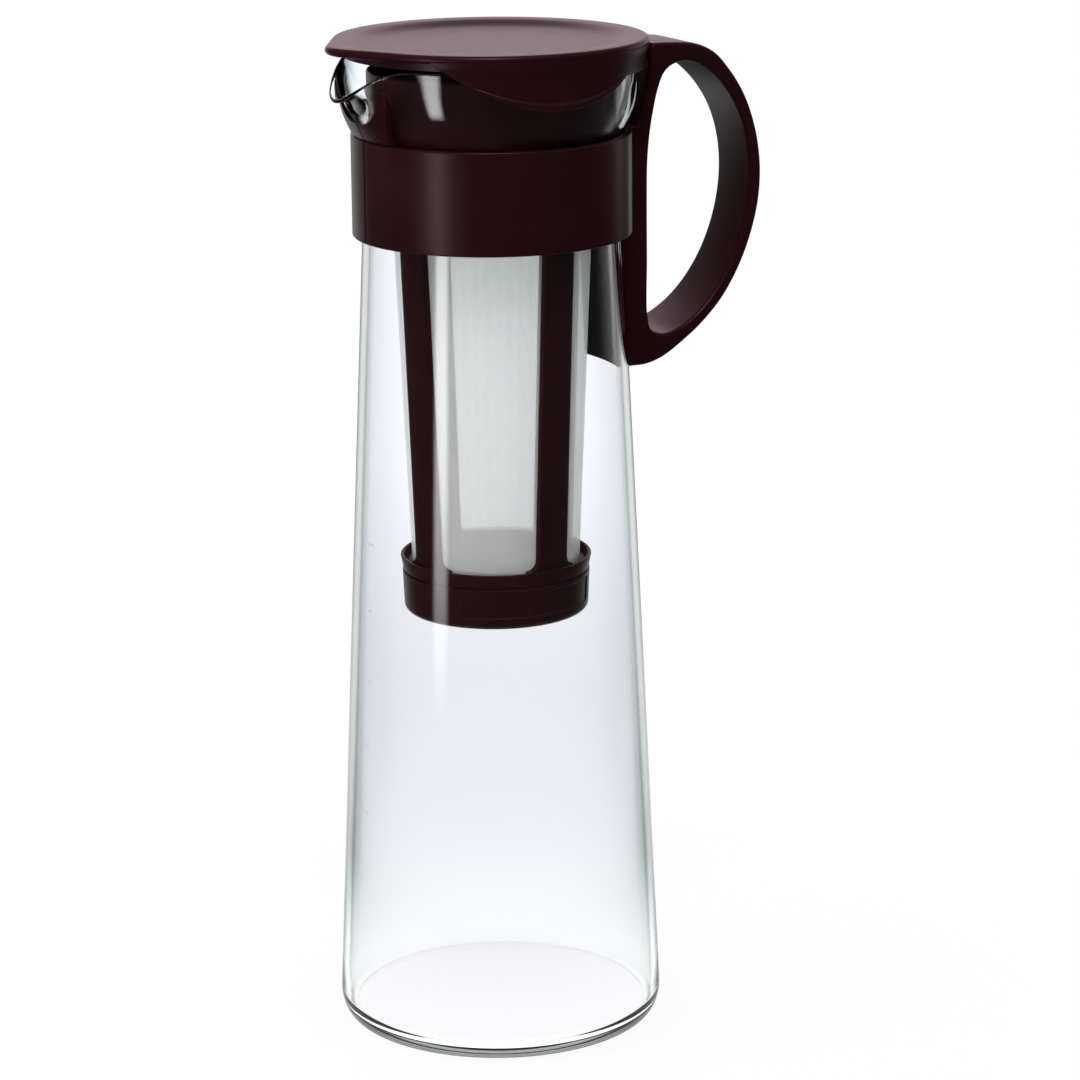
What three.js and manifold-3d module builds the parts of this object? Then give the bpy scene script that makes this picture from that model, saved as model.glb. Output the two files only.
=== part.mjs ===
// Cold brew coffee maker: a tall tapered glass carafe with a pouring lip, a plastic neck band moulded in
// one with its loop handle, a lift-out strainer with four mesh windows and a twist-off cap, and a dished lid.
// Millimetres, +Z up. The origin is the centre of the carafe's base on the table. The pouring lip points
// to -X and the handle to +X, so the whole pot is symmetric about the XZ plane, except the strainer, which
// is dropped in by hand and stands a little turned.

import * as THREE from 'three';
import { mergeVertices } from 'three/addons/utils/BufferGeometryUtils.js';
import Module from 'manifold-3d';

const wasm = await Module();
wasm.setup();

// Glass carafe
const BASE_RADIUS = 48.8;
const HEEL_REACH = 3.5;
const HEEL_HEIGHT = 7;
const FLOOR_THICKNESS = 3;
const FLOOR_CORNER = 4;
const GLASS_WALL = 2;
const RIM_HEIGHT = 292;
const MOUTH_RADIUS = 42.4;
const WAIST_RADIUS = 36.7;
const WAIST_DROP = 26;
const LIP_ROOT_DROP = 17;
const LIP_REACH = 6.8;
const LIP_DIP = 9.8;
const LIP_SPREAD = 18.6;
const LIP_DIP_SPREAD = 15.5;
const LIP_EASE = 1.9;
const waistHeight = RIM_HEIGHT - WAIST_DROP;
const lipRoot = RIM_HEIGHT - LIP_ROOT_DROP;

// Clearances between pieces that touch
const FIT_GAP = 0.3;
const CUT_OVERRUN = 2;

// Neck band and its two fins under the pouring lip
const BAND_RADIUS = 40.8;
const BAND_ABOVE_WAIST = 3.5;
const BAND_HEIGHT = 29.7;
const BAND_EDGE_ROUND = 0.4;
const SEAM_WIDTH = 0.7;
const FIN_DROP = 6.7;
const FIN_RISE = 10.6;
const FIN_HALF_WIDTH = 16.2;
const FIN_FOOT_HALF_WIDTH = 12.4;
const FIN_THICKNESS = 1.4;
const bandTop = waistHeight + BAND_ABOVE_WAIST;
const bandBottom = bandTop - BAND_HEIGHT;
const finTop = RIM_HEIGHT - FIN_DROP;
const finNotch = finTop - FIN_RISE;

// Handle
const HANDLE_REACH = 85.4;
const HANDLE_RISE = 1;
const HANDLE_HEIGHT = 95.4;
const HANDLE_STRAP = 3.9;
const SPINE_FACE = 45.4;
const SPINE_WIDTH = 24;
const STRAP_WIDTH = 19.4;
const HANDLE_EDGE_ROUND = 1.2;
const FINGER_GAP_DROP = 6.1;
const FINGER_GAP_FOOT = 8.7;
const handleTop = RIM_HEIGHT + HANDLE_RISE;
const handleBottom = handleTop - HANDLE_HEIGHT;
const fingerGapTop = handleTop - FINGER_GAP_DROP;
const fingerGapBottom = handleBottom + FINGER_GAP_FOOT;

// Strainer frame with its four ribs
const STRAINER_TURN = 12.8;
const RIB_COUNT = 4;
const RIB_WIDTH = 10.8;
const RIB_PROUD = 1.6;
const MESH_TOP_RADIUS = 28.9;
const MESH_BOTTOM_RADIUS = 25;
const MESH_THICKNESS = 0.4;
const MESH_EDGE_GRIP = 1.2;
const WINDOW_DROP = 52;
const WINDOW_HEIGHT = 96.4;
const WINDOW_CORNER = 3;
const FRAME_WALL = 1.6;
const CUP_RADIUS = 36;
const CUP_DROP = 4;
const SEAT_ABOVE_WAIST = 3;
const COLLAR_HEIGHT = 4.3;
const COLLAR_RADIUS = 28.4;
const COLLAR_FOOT_RADIUS = 27.7;
const COLLAR_LIP = 1.1;
const TROUGH_DEPTH = 2;
const RIB_FOOT_SHARE = 0.4;
const THROAT_SHARE = 0.1;
const THROAT_TOP_SHARE = 0.75;
const THROAT_INSIDE_SHARE = 0.8;
const SHOULDER_SHARE = 0.4;
const SHOULDER_RISE_SHARE = 0.9;
const SPIGOT_RADIUS = 25.2;
const SPIGOT_LENGTH = 7.8;
const windowTop = RIM_HEIGHT - WINDOW_DROP;
const windowBottom = windowTop - WINDOW_HEIGHT;
const cupTop = RIM_HEIGHT - CUP_DROP;
const seatHeight = waistHeight + SEAT_ABOVE_WAIST;
const collarBottom = windowBottom - COLLAR_HEIGHT;
const spigotBottom = collarBottom - SPIGOT_LENGTH;

// Bayonet between the strainer's spigot and its cap
const LUG_COUNT = 2;
const LUG_HEIGHT = 2;
const LUG_LIFT = 1.2;
const LUG_PROUD = 1.1;
const LUG_SPAN = 20;
const LUG_PLAY = 2;
const CAP_TWIST = 30;

// Twist-off cap
const CAP_RADIUS = 27.9;
const CAP_FOOT_RADIUS = 27.5;
const CAP_DROP = 4.8;
const CAP_FLOOR = 2;
const CAP_CORNER = 2.2;
const GRIP_DEPTH = 0.35;
const GRIP_HALF_SPAN = 48;
const GRIP_MARGIN = 1.6;
const capBottom = spigotBottom - CAP_DROP;

// Lid
const LID_RADIUS = 45.8;
const LID_RISE = 5;
const LID_EDGE = 2.5;
const LID_NOSE_RADIUS = 13;
const LID_NOSE_REACH = 51;
const LID_RIM_WIDTH = 5.5;
const LID_DISH_DEPTH = 1.8;
const LID_THICKNESS = 2;
const LID_SEAT_WIDTH = 3.6;
const SKIRT_WALL = 1.4;
const SKIRT_DROP = 4;
const GRIP_LIP_DROP = 11.2;
const GRIP_LIP_HALF_CHORD = 33;
const GRIP_LIP_ROUND = 1.3;
const GRIP_LIP_SPAN = 34;
const lidTop = RIM_HEIGHT + LID_RISE;
const skirtBottom = RIM_HEIGHT - SKIRT_DROP;
const gripLipBottom = RIM_HEIGHT - GRIP_LIP_DROP;

// Facets
const ROUND_STEPS = 52;
const ARC_STEPS = 4;
const OUTLINE_STEPS = 44;

const plastic = { color: 0x2b1216, roughness: 0.38, metalness: 0 };
const clear = { color: 0xe6eef0, roughness: 0.04, metalness: 0, transparent: true, opacity: 0.3 };
const cloth = { color: 0xe4e6e2, roughness: 0.8, metalness: 0 };
const materials = {
  glass: new THREE.MeshStandardMaterial(clear),
  body: new THREE.MeshStandardMaterial(plastic),
  mesh: new THREE.MeshStandardMaterial(cloth),
};

const radians = THREE.MathUtils.degToRad;
const lerp = THREE.MathUtils.lerp;
const polar = (radius, angle) => [radius * Math.cos(angle), radius * Math.sin(angle)];

// A closed skin through rings of points. A ring may be a single point, which closes that end like a pole.
// With no poles the last ring joins the first, which makes a ring-shaped solid.
function skin(rings) {
  const positions = [];
  const starts = rings.map((ring) => {
    const start = positions.length / 3;
    ring.forEach((point) => positions.push(...point));
    return start;
  });
  const index = [];
  const join = (a, b) => {
    const count = Math.max(rings[a].length, rings[b].length);
    const at = (ring, i) => starts[ring] + (rings[ring].length === 1 ? 0 : i % count);
    for (let i = 0; i < count; i += 1) {
      if (rings[a].length > 1) index.push(at(a, i), at(a, i + 1), at(b, i));
      if (rings[b].length > 1) index.push(at(a, i + 1), at(b, i + 1), at(b, i));
    }
  };
  for (let a = 0; a + 1 < rings.length; a += 1) join(a, a + 1);
  if (rings[0].length > 1) join(rings.length - 1, 0);
  const geometry = new THREE.BufferGeometry();
  geometry.setAttribute('position', new THREE.Float32BufferAttribute(positions, 3));
  geometry.setIndex(index);
  return solid(geometry);
}

// Turns a closed geometry into a solid that can be joined and cut, with its faces pointing out.
function solid(geometry) {
  const bare = geometry.clone();
  bare.deleteAttribute('normal');
  bare.deleteAttribute('uv');
  const merged = mergeVertices(bare, 1e-3);
  const vertProperties = new Float32Array(merged.attributes.position.array);
  const triVerts = new Uint32Array(merged.index.array);
  if (signedVolume(vertProperties, triVerts) < 0) {
    for (let i = 0; i < triVerts.length; i += 3) {
      [triVerts[i], triVerts[i + 1]] = [triVerts[i + 1], triVerts[i]];
    }
  }
  return new wasm.Manifold(new wasm.Mesh({ numProp: 3, vertProperties, triVerts }));
}

function signedVolume(positions, triangles) {
  const corner = (i) => new THREE.Vector3().fromArray(positions, 3 * triangles[i]);
  let volume = 0;
  for (let i = 0; i < triangles.length; i += 3) {
    volume += corner(i).dot(corner(i + 1).cross(corner(i + 2)));
  }
  return volume;
}

function asMesh(body, name, material) {
  const cut = body.getMesh();
  const geometry = new THREE.BufferGeometry();
  geometry.setAttribute('position', new THREE.BufferAttribute(new Float32Array(cut.vertProperties), 3));
  geometry.setIndex(new THREE.BufferAttribute(new Uint32Array(cut.triVerts), 1));
  geometry.computeVertexNormals();
  const mesh = new THREE.Mesh(geometry, material);
  mesh.name = name;
  return mesh;
}

const joined = (bodies) => bodies.reduce((whole, body) => whole.add(body));

// A solid of revolution from a closed profile of [radius, height] points, turned by an angle about Z.
// A profile that starts and ends on the axis makes a full body, and any other one makes a ring.
function turned(profile, turn = 0) {
  const onAxis = profile[0][0] === 0;
  const rings = profile.map(([radius, height], i) => {
    if (onAxis && (i === 0 || i === profile.length - 1)) return [[0, 0, height]];
    return Array.from({ length: ROUND_STEPS }, (_, k) => {
      const angle = (2 * Math.PI * k) / ROUND_STEPS + radians(turn);
      return [...polar(radius, angle), height];
    });
  });
  return skin(rings);
}

// A box between two corners.
function block(low, high) {
  const size = high.map((value, i) => value - low[i]);
  const centre = high.map((value, i) => (value + low[i]) / 2);
  return solid(new THREE.BoxGeometry(...size).translate(...centre));
}

// A flat outline of [across, height] points pushed along Y, between two places.
function slabAlongY(outline, from, to) {
  const shape = new THREE.Shape(outline.map(([x, z]) => new THREE.Vector2(x, z)));
  const geometry = new THREE.ExtrudeGeometry(shape, { depth: to - from, bevelEnabled: false });
  geometry.rotateX(Math.PI / 2).translate(0, to, 0);
  return solid(geometry);
}

// The same outline pushed along X.
const slabAlongX = (outline, from, to) =>
  slabAlongY(outline.map(([y, z]) => [y, z]), -to, -from).rotate([0, 0, 90]);

// A quarter of an ellipse between two angles, as [radius, height] points.
function bend(centreRadius, centreHeight, reach, rise, fromDegrees, toDegrees) {
  return Array.from({ length: ARC_STEPS + 1 }, (_, i) => {
    const angle = radians(lerp(fromDegrees, toDegrees, i / ARC_STEPS));
    return [centreRadius + reach * Math.cos(angle), centreHeight + rise * Math.sin(angle)];
  });
}

// Carafe

// The mouth swells from the waist to the rim: shares of its height and of its flare.
const bowlShares = [
  [0, 0], [0.06, 0.08], [0.12, 0.23], [0.23, 0.52], [0.44, 0.9], [0.67, 1.04], [0.86, 1.02],
];

// The outside of the glass from the heel to just under the rim.
const glassLine = [
  [BASE_RADIUS, HEEL_HEIGHT],
  ...bowlShares.map(([rise, flare]) => [
    lerp(WAIST_RADIUS, MOUTH_RADIUS, flare),
    lerp(waistHeight, RIM_HEIGHT, rise),
  ]),
];
const rimHeight = RIM_HEIGHT - GLASS_WALL / 2;

// A line of [radius, height] points pushed out or in by an offset, square to its run.
function offsetLine(points, offset) {
  return points.map(([radius, height], i) => {
    const before = points[Math.max(i - 1, 0)];
    const after = points[Math.min(i + 1, points.length - 1)];
    const run = new THREE.Vector2(after[0] - before[0], after[1] - before[1]).normalize();
    return [radius + run.y * offset, height - run.x * offset];
  });
}

const glassWall = (offset) => offsetLine(glassLine, offset);

// The pouring lip pulls the mouth out and down near -X. It fades to both sides and towards its root.
function pulled([radius, height], angle) {
  const away = THREE.MathUtils.radToDeg(Math.abs(Math.PI - angle));
  const climb = (height - lipRoot) / (rimHeight - lipRoot);
  const strength = THREE.MathUtils.clamp(climb, 0, 1) ** LIP_EASE;
  const reach = LIP_REACH * strength * Math.exp(-((away / LIP_SPREAD) ** 2));
  const dip = LIP_DIP * strength * Math.exp(-((away / LIP_DIP_SPREAD) ** 2));
  return [radius + reach, height - dip];
}

// The glass wall up to the rim at an angle, pushed out or in by an offset. The wall keeps its thickness
// where the lip bends it over.
function wallAt(angle, offset) {
  const line = [...glassLine, [MOUTH_RADIUS, rimHeight]].map((point) => pulled(point, angle));
  return offsetLine(line, offset);
}

// The rounded rim that joins the outside of the wall to its inside, without its two ends.
function rimBead([outerRadius, outerHeight], [innerRadius, innerHeight]) {
  const centre = [lerp(outerRadius, innerRadius, 0.5), lerp(outerHeight, innerHeight, 0.5)];
  const [across, up] = [outerRadius - centre[0], outerHeight - centre[1]];
  return Array.from({ length: ARC_STEPS - 1 }, (_, i) => {
    const turn = (Math.PI * (i + 1)) / ARC_STEPS;
    return [
      centre[0] + across * Math.cos(turn) - up * Math.sin(turn),
      centre[1] + up * Math.cos(turn) + across * Math.sin(turn),
    ];
  });
}

// A solid whose profile of [radius, height] points, which starts and ends on the axis, changes with the
// angle about it.
function shapedSkin(profileAt) {
  const angles = Array.from({ length: ROUND_STEPS }, (_, k) => (2 * Math.PI * k) / ROUND_STEPS);
  const profiles = angles.map(profileAt);
  return skin(profiles[0].map(([firstRadius, firstHeight], i) => {
    if (firstRadius === 0) return [[0, 0, firstHeight]];
    return profiles.map((profile, k) => [...polar(profile[i][0], angles[k]), profile[i][1]]);
  }));
}

function carafe() {
  const floorRadius = BASE_RADIUS - GLASS_WALL - FLOOR_CORNER;
  const heel = bend(BASE_RADIUS - HEEL_REACH, HEEL_HEIGHT, HEEL_REACH, HEEL_HEIGHT, -90, 0);
  const floorCorner = bend(floorRadius, FLOOR_THICKNESS + FLOOR_CORNER, FLOOR_CORNER, FLOOR_CORNER, 0, -90);
  return shapedSkin((angle) => {
    const outside = wallAt(angle, 0).slice(1);
    const inside = wallAt(angle, -GLASS_WALL).slice(1);
    const bead = rimBead(outside.at(-1), inside.at(-1));
    return [[0, 0], ...heel, ...outside, ...bead, ...inside.reverse(), ...floorCorner, [0, FLOOR_THICKNESS]];
  });
}

// Everything that the neck band must keep clear of: the glass with its fitting gap.
function glassWithGap() {
  const top = RIM_HEIGHT + CUT_OVERRUN;
  return shapedSkin((angle) => {
    const wall = wallAt(angle, FIT_GAP);
    return [[0, 0], [BASE_RADIUS, 0], ...wall, [wall.at(-1)[0], top], [0, top]];
  });
}

// Neck band with its fins and handle

function band() {
  const round = BAND_EDGE_ROUND;
  const inner = WAIST_RADIUS - FIT_GAP;
  return turned([
    [inner, bandBottom],
    ...bend(BAND_RADIUS - round, bandBottom + round, round, round, -90, 0),
    ...bend(BAND_RADIUS - round, bandTop - round, round, round, 0, 90),
    [inner, bandTop],
  ]);
}

// The outline of the fins seen from the pouring side: shares of their half width and of their height
// above the notch.
const finShares = [
  [0, 0], [0.2, 0.02], [0.41, 0.1], [0.59, 0.27], [0.75, 0.54], [0.83, 0.8], [0.87, 0.94], [0.92, 1],
  [0.98, 0.93], [1, 0.72],
];

function fins() {
  const skinAt = (offset) => glassWall(offset).slice(1);
  const sleeve = turned([...skinAt(FIT_GAP), ...skinAt(FIT_GAP + FIN_THICKNESS).reverse()]);
  const half = finShares.map(([across, rise]) => [
    across * FIN_HALF_WIDTH,
    lerp(finNotch, finTop, rise),
  ]);
  const foot = [[FIN_FOOT_HALF_WIDTH, bandTop], [FIN_FOOT_HALF_WIDTH, bandTop - FIN_THICKNESS]];
  const right = [...half, ...foot];
  const left = right.slice(1).reverse().map(([y, z]) => [-y, z]);
  const outline = slabAlongX([...right, ...left], -(MOUTH_RADIUS + LIP_REACH + FIN_THICKNESS), 0);
  return sleeve.intersect(outline);
}

// The finger gap and the outer edge of the handle, both seen from the side: shares of the way from the
// spine's face to the strap's outside, and from the bottom of the gap to its top.
const fingerGapShares = [
  [0, 0.08], [0.039, 0.02], [0.133, 0.002], [0.26, 0.008], [0.476, 0.06], [0.654, 0.135], [0.798, 0.228],
  [0.909, 0.338], [0.978, 0.456], [1, 0.575], [0.972, 0.686], [0.903, 0.783], [0.792, 0.868], [0.657, 0.9355],
  [0.521, 0.979], [0.371, 1], [0.241, 0.991], [0.158, 0.964], [0.1, 0.908], [0.055, 0.828], [0.022, 0.741],
  [0.003, 0.642], [0, 0.518], [0, 0.295],
];
const outerEdgeShares = [
  [0.042, 1], [0.19, 0.998], [0.422, 0.987], [0.59, 0.955], [0.728, 0.896], [0.842, 0.827], [0.92, 0.754],
  [0.975, 0.67], [1, 0.575], [0.982, 0.473], [0.915, 0.369], [0.81, 0.271], [0.665, 0.182],
  [0.48, 0.109], [0.288, 0.0545], [0.125, 0.017], [-0.01, 0.001], [-0.105, 0],
];

// Above the band the spine leans out past the bowl of the glass and the lid: shares of that way.
const spineFlareShares = [[0, 0], [0.45, 0.25], [0.75, 0.5], [0.93, 0.78], [1, 1]];

function smooth(points, closed) {
  const stations = points.map(([x, z]) => new THREE.Vector3(x, 0, z));
  const curve = new THREE.CatmullRomCurve3(stations, closed, 'centripetal');
  const steps = curve.getSpacedPoints(OUTLINE_STEPS).map(({ x, z }) => new THREE.Vector2(x, z));
  return closed ? steps.slice(0, -1) : steps;
}

function handle() {
  const gapReach = HANDLE_REACH - HANDLE_STRAP - SPINE_FACE;
  const gap = smooth(fingerGapShares.map(([across, rise]) => [
    SPINE_FACE + across * gapReach,
    lerp(fingerGapBottom, fingerGapTop, rise),
  ]), true);
  const edge = smooth(outerEdgeShares.map(([across, rise]) => [
    lerp(SPINE_FACE, HANDLE_REACH, across),
    lerp(handleBottom, handleTop, rise),
  ]), false);
  const root = WAIST_RADIUS - FIT_GAP;
  const lidSide = LID_RADIUS + 2 * FIT_GAP;
  const flare = spineFlareShares.map(([across, rise]) => [
    lerp(BAND_RADIUS, lidSide, across),
    lerp(bandTop, handleTop - HANDLE_EDGE_ROUND, rise),
  ]);
  const back = [[root, handleBottom], [root, bandTop], ...flare];
  const shape = new THREE.Shape([...edge, ...back.map(([x, z]) => new THREE.Vector2(x, z))]);
  shape.holes.push(new THREE.Path(gap));
  const geometry = new THREE.ExtrudeGeometry(shape, {
    depth: SPINE_WIDTH - 2 * HANDLE_EDGE_ROUND,
    bevelThickness: HANDLE_EDGE_ROUND,
    bevelSize: HANDLE_EDGE_ROUND,
    bevelOffset: -HANDLE_EDGE_ROUND,
    bevelSegments: 2,
  });
  geometry.translate(0, 0, HANDLE_EDGE_ROUND - SPINE_WIDTH / 2).rotateX(Math.PI / 2);
  narrowTowardsStrap(geometry);
  return solid(geometry);
}

// The handle is widest along its spine and narrows to the strap that the hand closes round.
function narrowTowardsStrap(geometry) {
  const place = geometry.attributes.position;
  for (let i = 0; i < place.count; i += 1) {
    const away = THREE.MathUtils.smoothstep(place.getX(i), SPINE_FACE, HANDLE_REACH);
    place.setY(i, place.getY(i) * lerp(1, STRAP_WIDTH / SPINE_WIDTH, away));
  }
}

function neckBand() {
  const reach = MOUTH_RADIUS + LIP_REACH + CUT_OVERRUN;
  const seam = block([-reach, -SEAM_WIDTH / 2, bandBottom - CUT_OVERRUN], [0, SEAM_WIDTH / 2, finTop]);
  return joined([band(), handle(), fins()]).subtract(glassWithGap()).subtract(seam);
}

// Strainer

const meshRadius = (height) =>
  lerp(MESH_BOTTOM_RADIUS, MESH_TOP_RADIUS, (height - windowBottom) / (windowTop - windowBottom));

// A thin cone that follows the mesh, between two distances from its outer face.
function meshCone(outer, inner) {
  const low = collarBottom;
  const high = windowTop + MESH_EDGE_GRIP + CUT_OVERRUN;
  return turned([
    [meshRadius(low) + outer, low],
    [meshRadius(high) + outer, high],
    [meshRadius(high) + inner, high],
    [meshRadius(low) + inner, low],
  ], STRAINER_TURN);
}

// The space between two neighbouring ribs. The ribs stand square to each other, so it is a square corner,
// with rounded corners where a rib runs into the collar.
function windowSpace(index, bottom, top, grip, corner) {
  const side = RIB_WIDTH / 2 - grip;
  const far = CUP_RADIUS;
  const lowCorner = corner > 0
    ? bend(side + corner, bottom + corner, corner, corner, 180, 270)
    : [[side, bottom]];
  const outline = [...lowCorner, [far, bottom], [far, top], [side, top]];
  const space = slabAlongY(outline, side, far).intersect(slabAlongX(outline, side, far));
  return space.rotate([0, 0, STRAINER_TURN + (index * 360) / RIB_COUNT]);
}

const ribSpaces = Array.from({ length: RIB_COUNT }, (_, index) => index);

function strainerFrame() {
  const ribOuter = (height) => meshRadius(height) + RIB_PROUD;
  const ribInner = (height) => meshRadius(height) - FRAME_WALL;
  const spigotInner = SPIGOT_RADIUS - FRAME_WALL;
  const cupInner = CUP_RADIUS - FRAME_WALL;
  const offSeat = ([, height]) => Math.abs(height - seatHeight);
  const seat = glassWall(-GLASS_WALL - FIT_GAP)
    .reduce((best, point) => (offSeat(point) < offSeat(best) ? point : best));
  const throat = lerp(ribOuter(windowTop), CUP_RADIUS, THROAT_SHARE);
  const edge = FRAME_WALL / 2;
  const between = (share) => lerp(windowTop, seatHeight, share);
  const shell = turned([
    [SPIGOT_RADIUS, spigotBottom],
    [SPIGOT_RADIUS, collarBottom],
    [COLLAR_FOOT_RADIUS, collarBottom],
    [COLLAR_RADIUS, windowBottom],
    [lerp(COLLAR_RADIUS, ribOuter(windowBottom), RIB_FOOT_SHARE), windowBottom + COLLAR_LIP],
    [ribOuter(windowBottom + 2 * WINDOW_CORNER), windowBottom + 2 * WINDOW_CORNER],
    [ribOuter(windowTop), windowTop],
    [throat, between(THROAT_TOP_SHARE)],
    [lerp(throat, seat[0], SHOULDER_SHARE), between(SHOULDER_RISE_SHARE)],
    seat,
    [CUP_RADIUS, seat[1] + FRAME_WALL],
    ...bend(CUP_RADIUS - edge, cupTop - edge, edge, edge, 0, 180),
    [cupInner, seat[1] + 2 * FRAME_WALL],
    [seat[0] - FRAME_WALL, seat[1] + FRAME_WALL],
    [throat - FRAME_WALL, between(THROAT_INSIDE_SHARE)],
    [ribInner(windowTop), windowTop],
    [ribInner(windowBottom), windowBottom],
    [spigotInner, collarBottom],
    [spigotInner, spigotBottom],
  ], STRAINER_TURN);
  const trough = turned([
    [MESH_BOTTOM_RADIUS - MESH_THICKNESS - FIT_GAP, windowBottom - TROUGH_DEPTH],
    [COLLAR_RADIUS - 2 * COLLAR_LIP, windowBottom - TROUGH_DEPTH],
    [COLLAR_RADIUS - COLLAR_LIP, windowBottom + CUT_OVERRUN],
    [MESH_BOTTOM_RADIUS - MESH_THICKNESS - FIT_GAP, windowBottom + CUT_OVERRUN],
  ], STRAINER_TURN);
  const slot = meshCone(FIT_GAP, -MESH_THICKNESS - FIT_GAP);
  const windows = ribSpaces.map((index) => windowSpace(index, windowBottom, windowTop, 0, WINDOW_CORNER));
  const troughs = ribSpaces.map((index) =>
    windowSpace(index, windowBottom - TROUGH_DEPTH, windowTop, 0, 0).intersect(trough));
  const slots = ribSpaces.map((index) => windowSpace(
    index,
    windowBottom - TROUGH_DEPTH - MESH_EDGE_GRIP,
    windowTop + MESH_EDGE_GRIP,
    MESH_EDGE_GRIP,
    0,
  ).intersect(slot));
  return joined([shell.subtract(joined([...windows, ...troughs, ...slots])), ...lugs()]);
}

// The panel of mesh that closes one window, with its edges held in the slots of the frame.
function meshPanel(index) {
  const grip = MESH_EDGE_GRIP - FIT_GAP;
  const cloth = meshCone(0, -MESH_THICKNESS);
  const bottom = windowBottom - TROUGH_DEPTH - grip;
  return cloth.intersect(windowSpace(index, bottom, windowTop + grip, grip, 0));
}

// A block bent round the axis: between two radii, two heights and two angles in degrees.
function arcBlock(inner, outer, bottom, top, fromDegrees, toDegrees) {
  const steps = Math.ceil((toDegrees - fromDegrees) / (360 / ROUND_STEPS));
  const rings = Array.from({ length: steps + 1 }, (_, i) => {
    const angle = radians(lerp(fromDegrees, toDegrees, i / steps));
    const corner = (radius, height) => [...polar(radius, angle), height];
    return [corner(inner, bottom), corner(outer, bottom), corner(outer, top), corner(inner, top)];
  });
  const middle = (ring) => ring[0].map((_, axis) => {
    const total = ring.reduce((sum, point) => sum + point[axis], 0);
    return total / ring.length;
  });
  return skin([[middle(rings[0])], ...rings, [middle(rings[steps])]]);
}

const lugBottom = spigotBottom + LUG_LIFT;
const lugDirections = Array.from({ length: LUG_COUNT }, (_, index) => (index * 360) / LUG_COUNT);

function lugs() {
  return lugDirections.map((middle) => arcBlock(
    SPIGOT_RADIUS - FRAME_WALL / 2,
    SPIGOT_RADIUS + LUG_PROUD,
    lugBottom,
    lugBottom + LUG_HEIGHT,
    middle - LUG_SPAN / 2,
    middle + LUG_SPAN / 2,
  ));
}

// The cap locks on two lugs. Turned by its twist, its entries stand over the lugs and it drops off.
function strainerCap() {
  const inner = SPIGOT_RADIUS + FIT_GAP;
  const top = collarBottom - FIT_GAP;
  const cup = turned([
    [0, capBottom],
    ...bend(CAP_FOOT_RADIUS - CAP_CORNER, capBottom + CAP_CORNER, CAP_CORNER, CAP_CORNER, -90, 0),
    [CAP_RADIUS, top],
    [inner, top],
    [inner, capBottom + CAP_FLOOR],
    [0, capBottom + CAP_FLOOR],
  ]);
  const grooveReach = SPIGOT_RADIUS + LUG_PROUD + FIT_GAP;
  const grooveBottom = lugBottom - FIT_GAP;
  const grooveTop = lugBottom + LUG_HEIGHT + FIT_GAP;
  const grooves = lugDirections.map((middle) => arcBlock(
    inner - CUT_OVERRUN,
    grooveReach,
    grooveBottom,
    grooveTop,
    middle - LUG_SPAN / 2 - LUG_PLAY - CAP_TWIST,
    middle + LUG_SPAN / 2 + LUG_PLAY,
  ));
  const entries = lugDirections.map((middle) => arcBlock(
    inner - CUT_OVERRUN,
    grooveReach,
    grooveBottom,
    top + CUT_OVERRUN,
    middle - LUG_SPAN / 2 - LUG_PLAY - CAP_TWIST,
    middle + LUG_SPAN / 2 + LUG_PLAY - CAP_TWIST,
  ));
  const grips = [90, 270].map((middle) => arcBlock(
    CAP_FOOT_RADIUS - GRIP_DEPTH,
    CAP_RADIUS + CUT_OVERRUN,
    capBottom + CAP_CORNER + GRIP_MARGIN,
    top - GRIP_MARGIN,
    middle - GRIP_HALF_SPAN,
    middle + GRIP_HALF_SPAN,
  ));
  return cup.subtract(joined([...grooves, ...entries, ...grips]));
}

// Lid

// The lid's outline is a round plate with a rounded nose over the pouring lip, drawn in by an inset.
function lidOutline(inset, height) {
  const noseCentre = LID_NOSE_REACH - LID_NOSE_RADIUS;
  const meet = Math.acos((LID_RADIUS - LID_NOSE_RADIUS) / noseCentre);
  const noseSteps = 8;
  const plateSteps = ROUND_STEPS - 2 * noseSteps;
  const plate = Array.from({ length: plateSteps + 1 }, (_, i) => {
    const angle = lerp(meet - Math.PI, Math.PI - meet, i / plateSteps);
    return [...polar(LID_RADIUS - inset, angle), height];
  });
  const nose = Array.from({ length: noseSteps + 1 }, (_, i) => {
    const angle = lerp(Math.PI - meet, Math.PI + meet, i / noseSteps);
    const [x, y] = polar(LID_NOSE_RADIUS - inset, angle);
    return [x - noseCentre, y, height];
  });
  return [...plate, ...nose];
}

const shrunk = (ring, share, height) => ring.map(([x, y]) => [x * share, y * share, height]);

const lidUnder = lidTop - LID_EDGE;
const lidSeat = RIM_HEIGHT + FIT_GAP;

// The dish in the lid and its underside: shares of the shoulder's outline, and of the drop or the rise.
const dishShares = [[0.9, 0.6], [0.75, 1]];
const underShares = [[0.82, 0], [0.9, 0.6]];

function lidPlate() {
  const round = LID_EDGE / 2;
  const shoulder = lidOutline(LID_RIM_WIDTH, lidTop);
  const recess = lidTop - LID_DISH_DEPTH - LID_THICKNESS;
  const dish = dishShares.map(([across, drop]) => shrunk(shoulder, across, lidTop - LID_DISH_DEPTH * drop));
  const under = underShares.map(([across, rise]) => shrunk(shoulder, across, lerp(recess, lidUnder, rise)));
  return skin([
    [[0, 0, recess]],
    ...under,
    lidOutline(LID_RIM_WIDTH, lidUnder),
    lidOutline(round / 2, lidUnder),
    lidOutline(0, lidUnder + round),
    lidOutline(round / 3, lidTop - round / 3),
    lidOutline(round, lidTop),
    shoulder,
    ...dish,
    [[0, 0, lidTop - LID_DISH_DEPTH]],
  ]);
}

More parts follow.
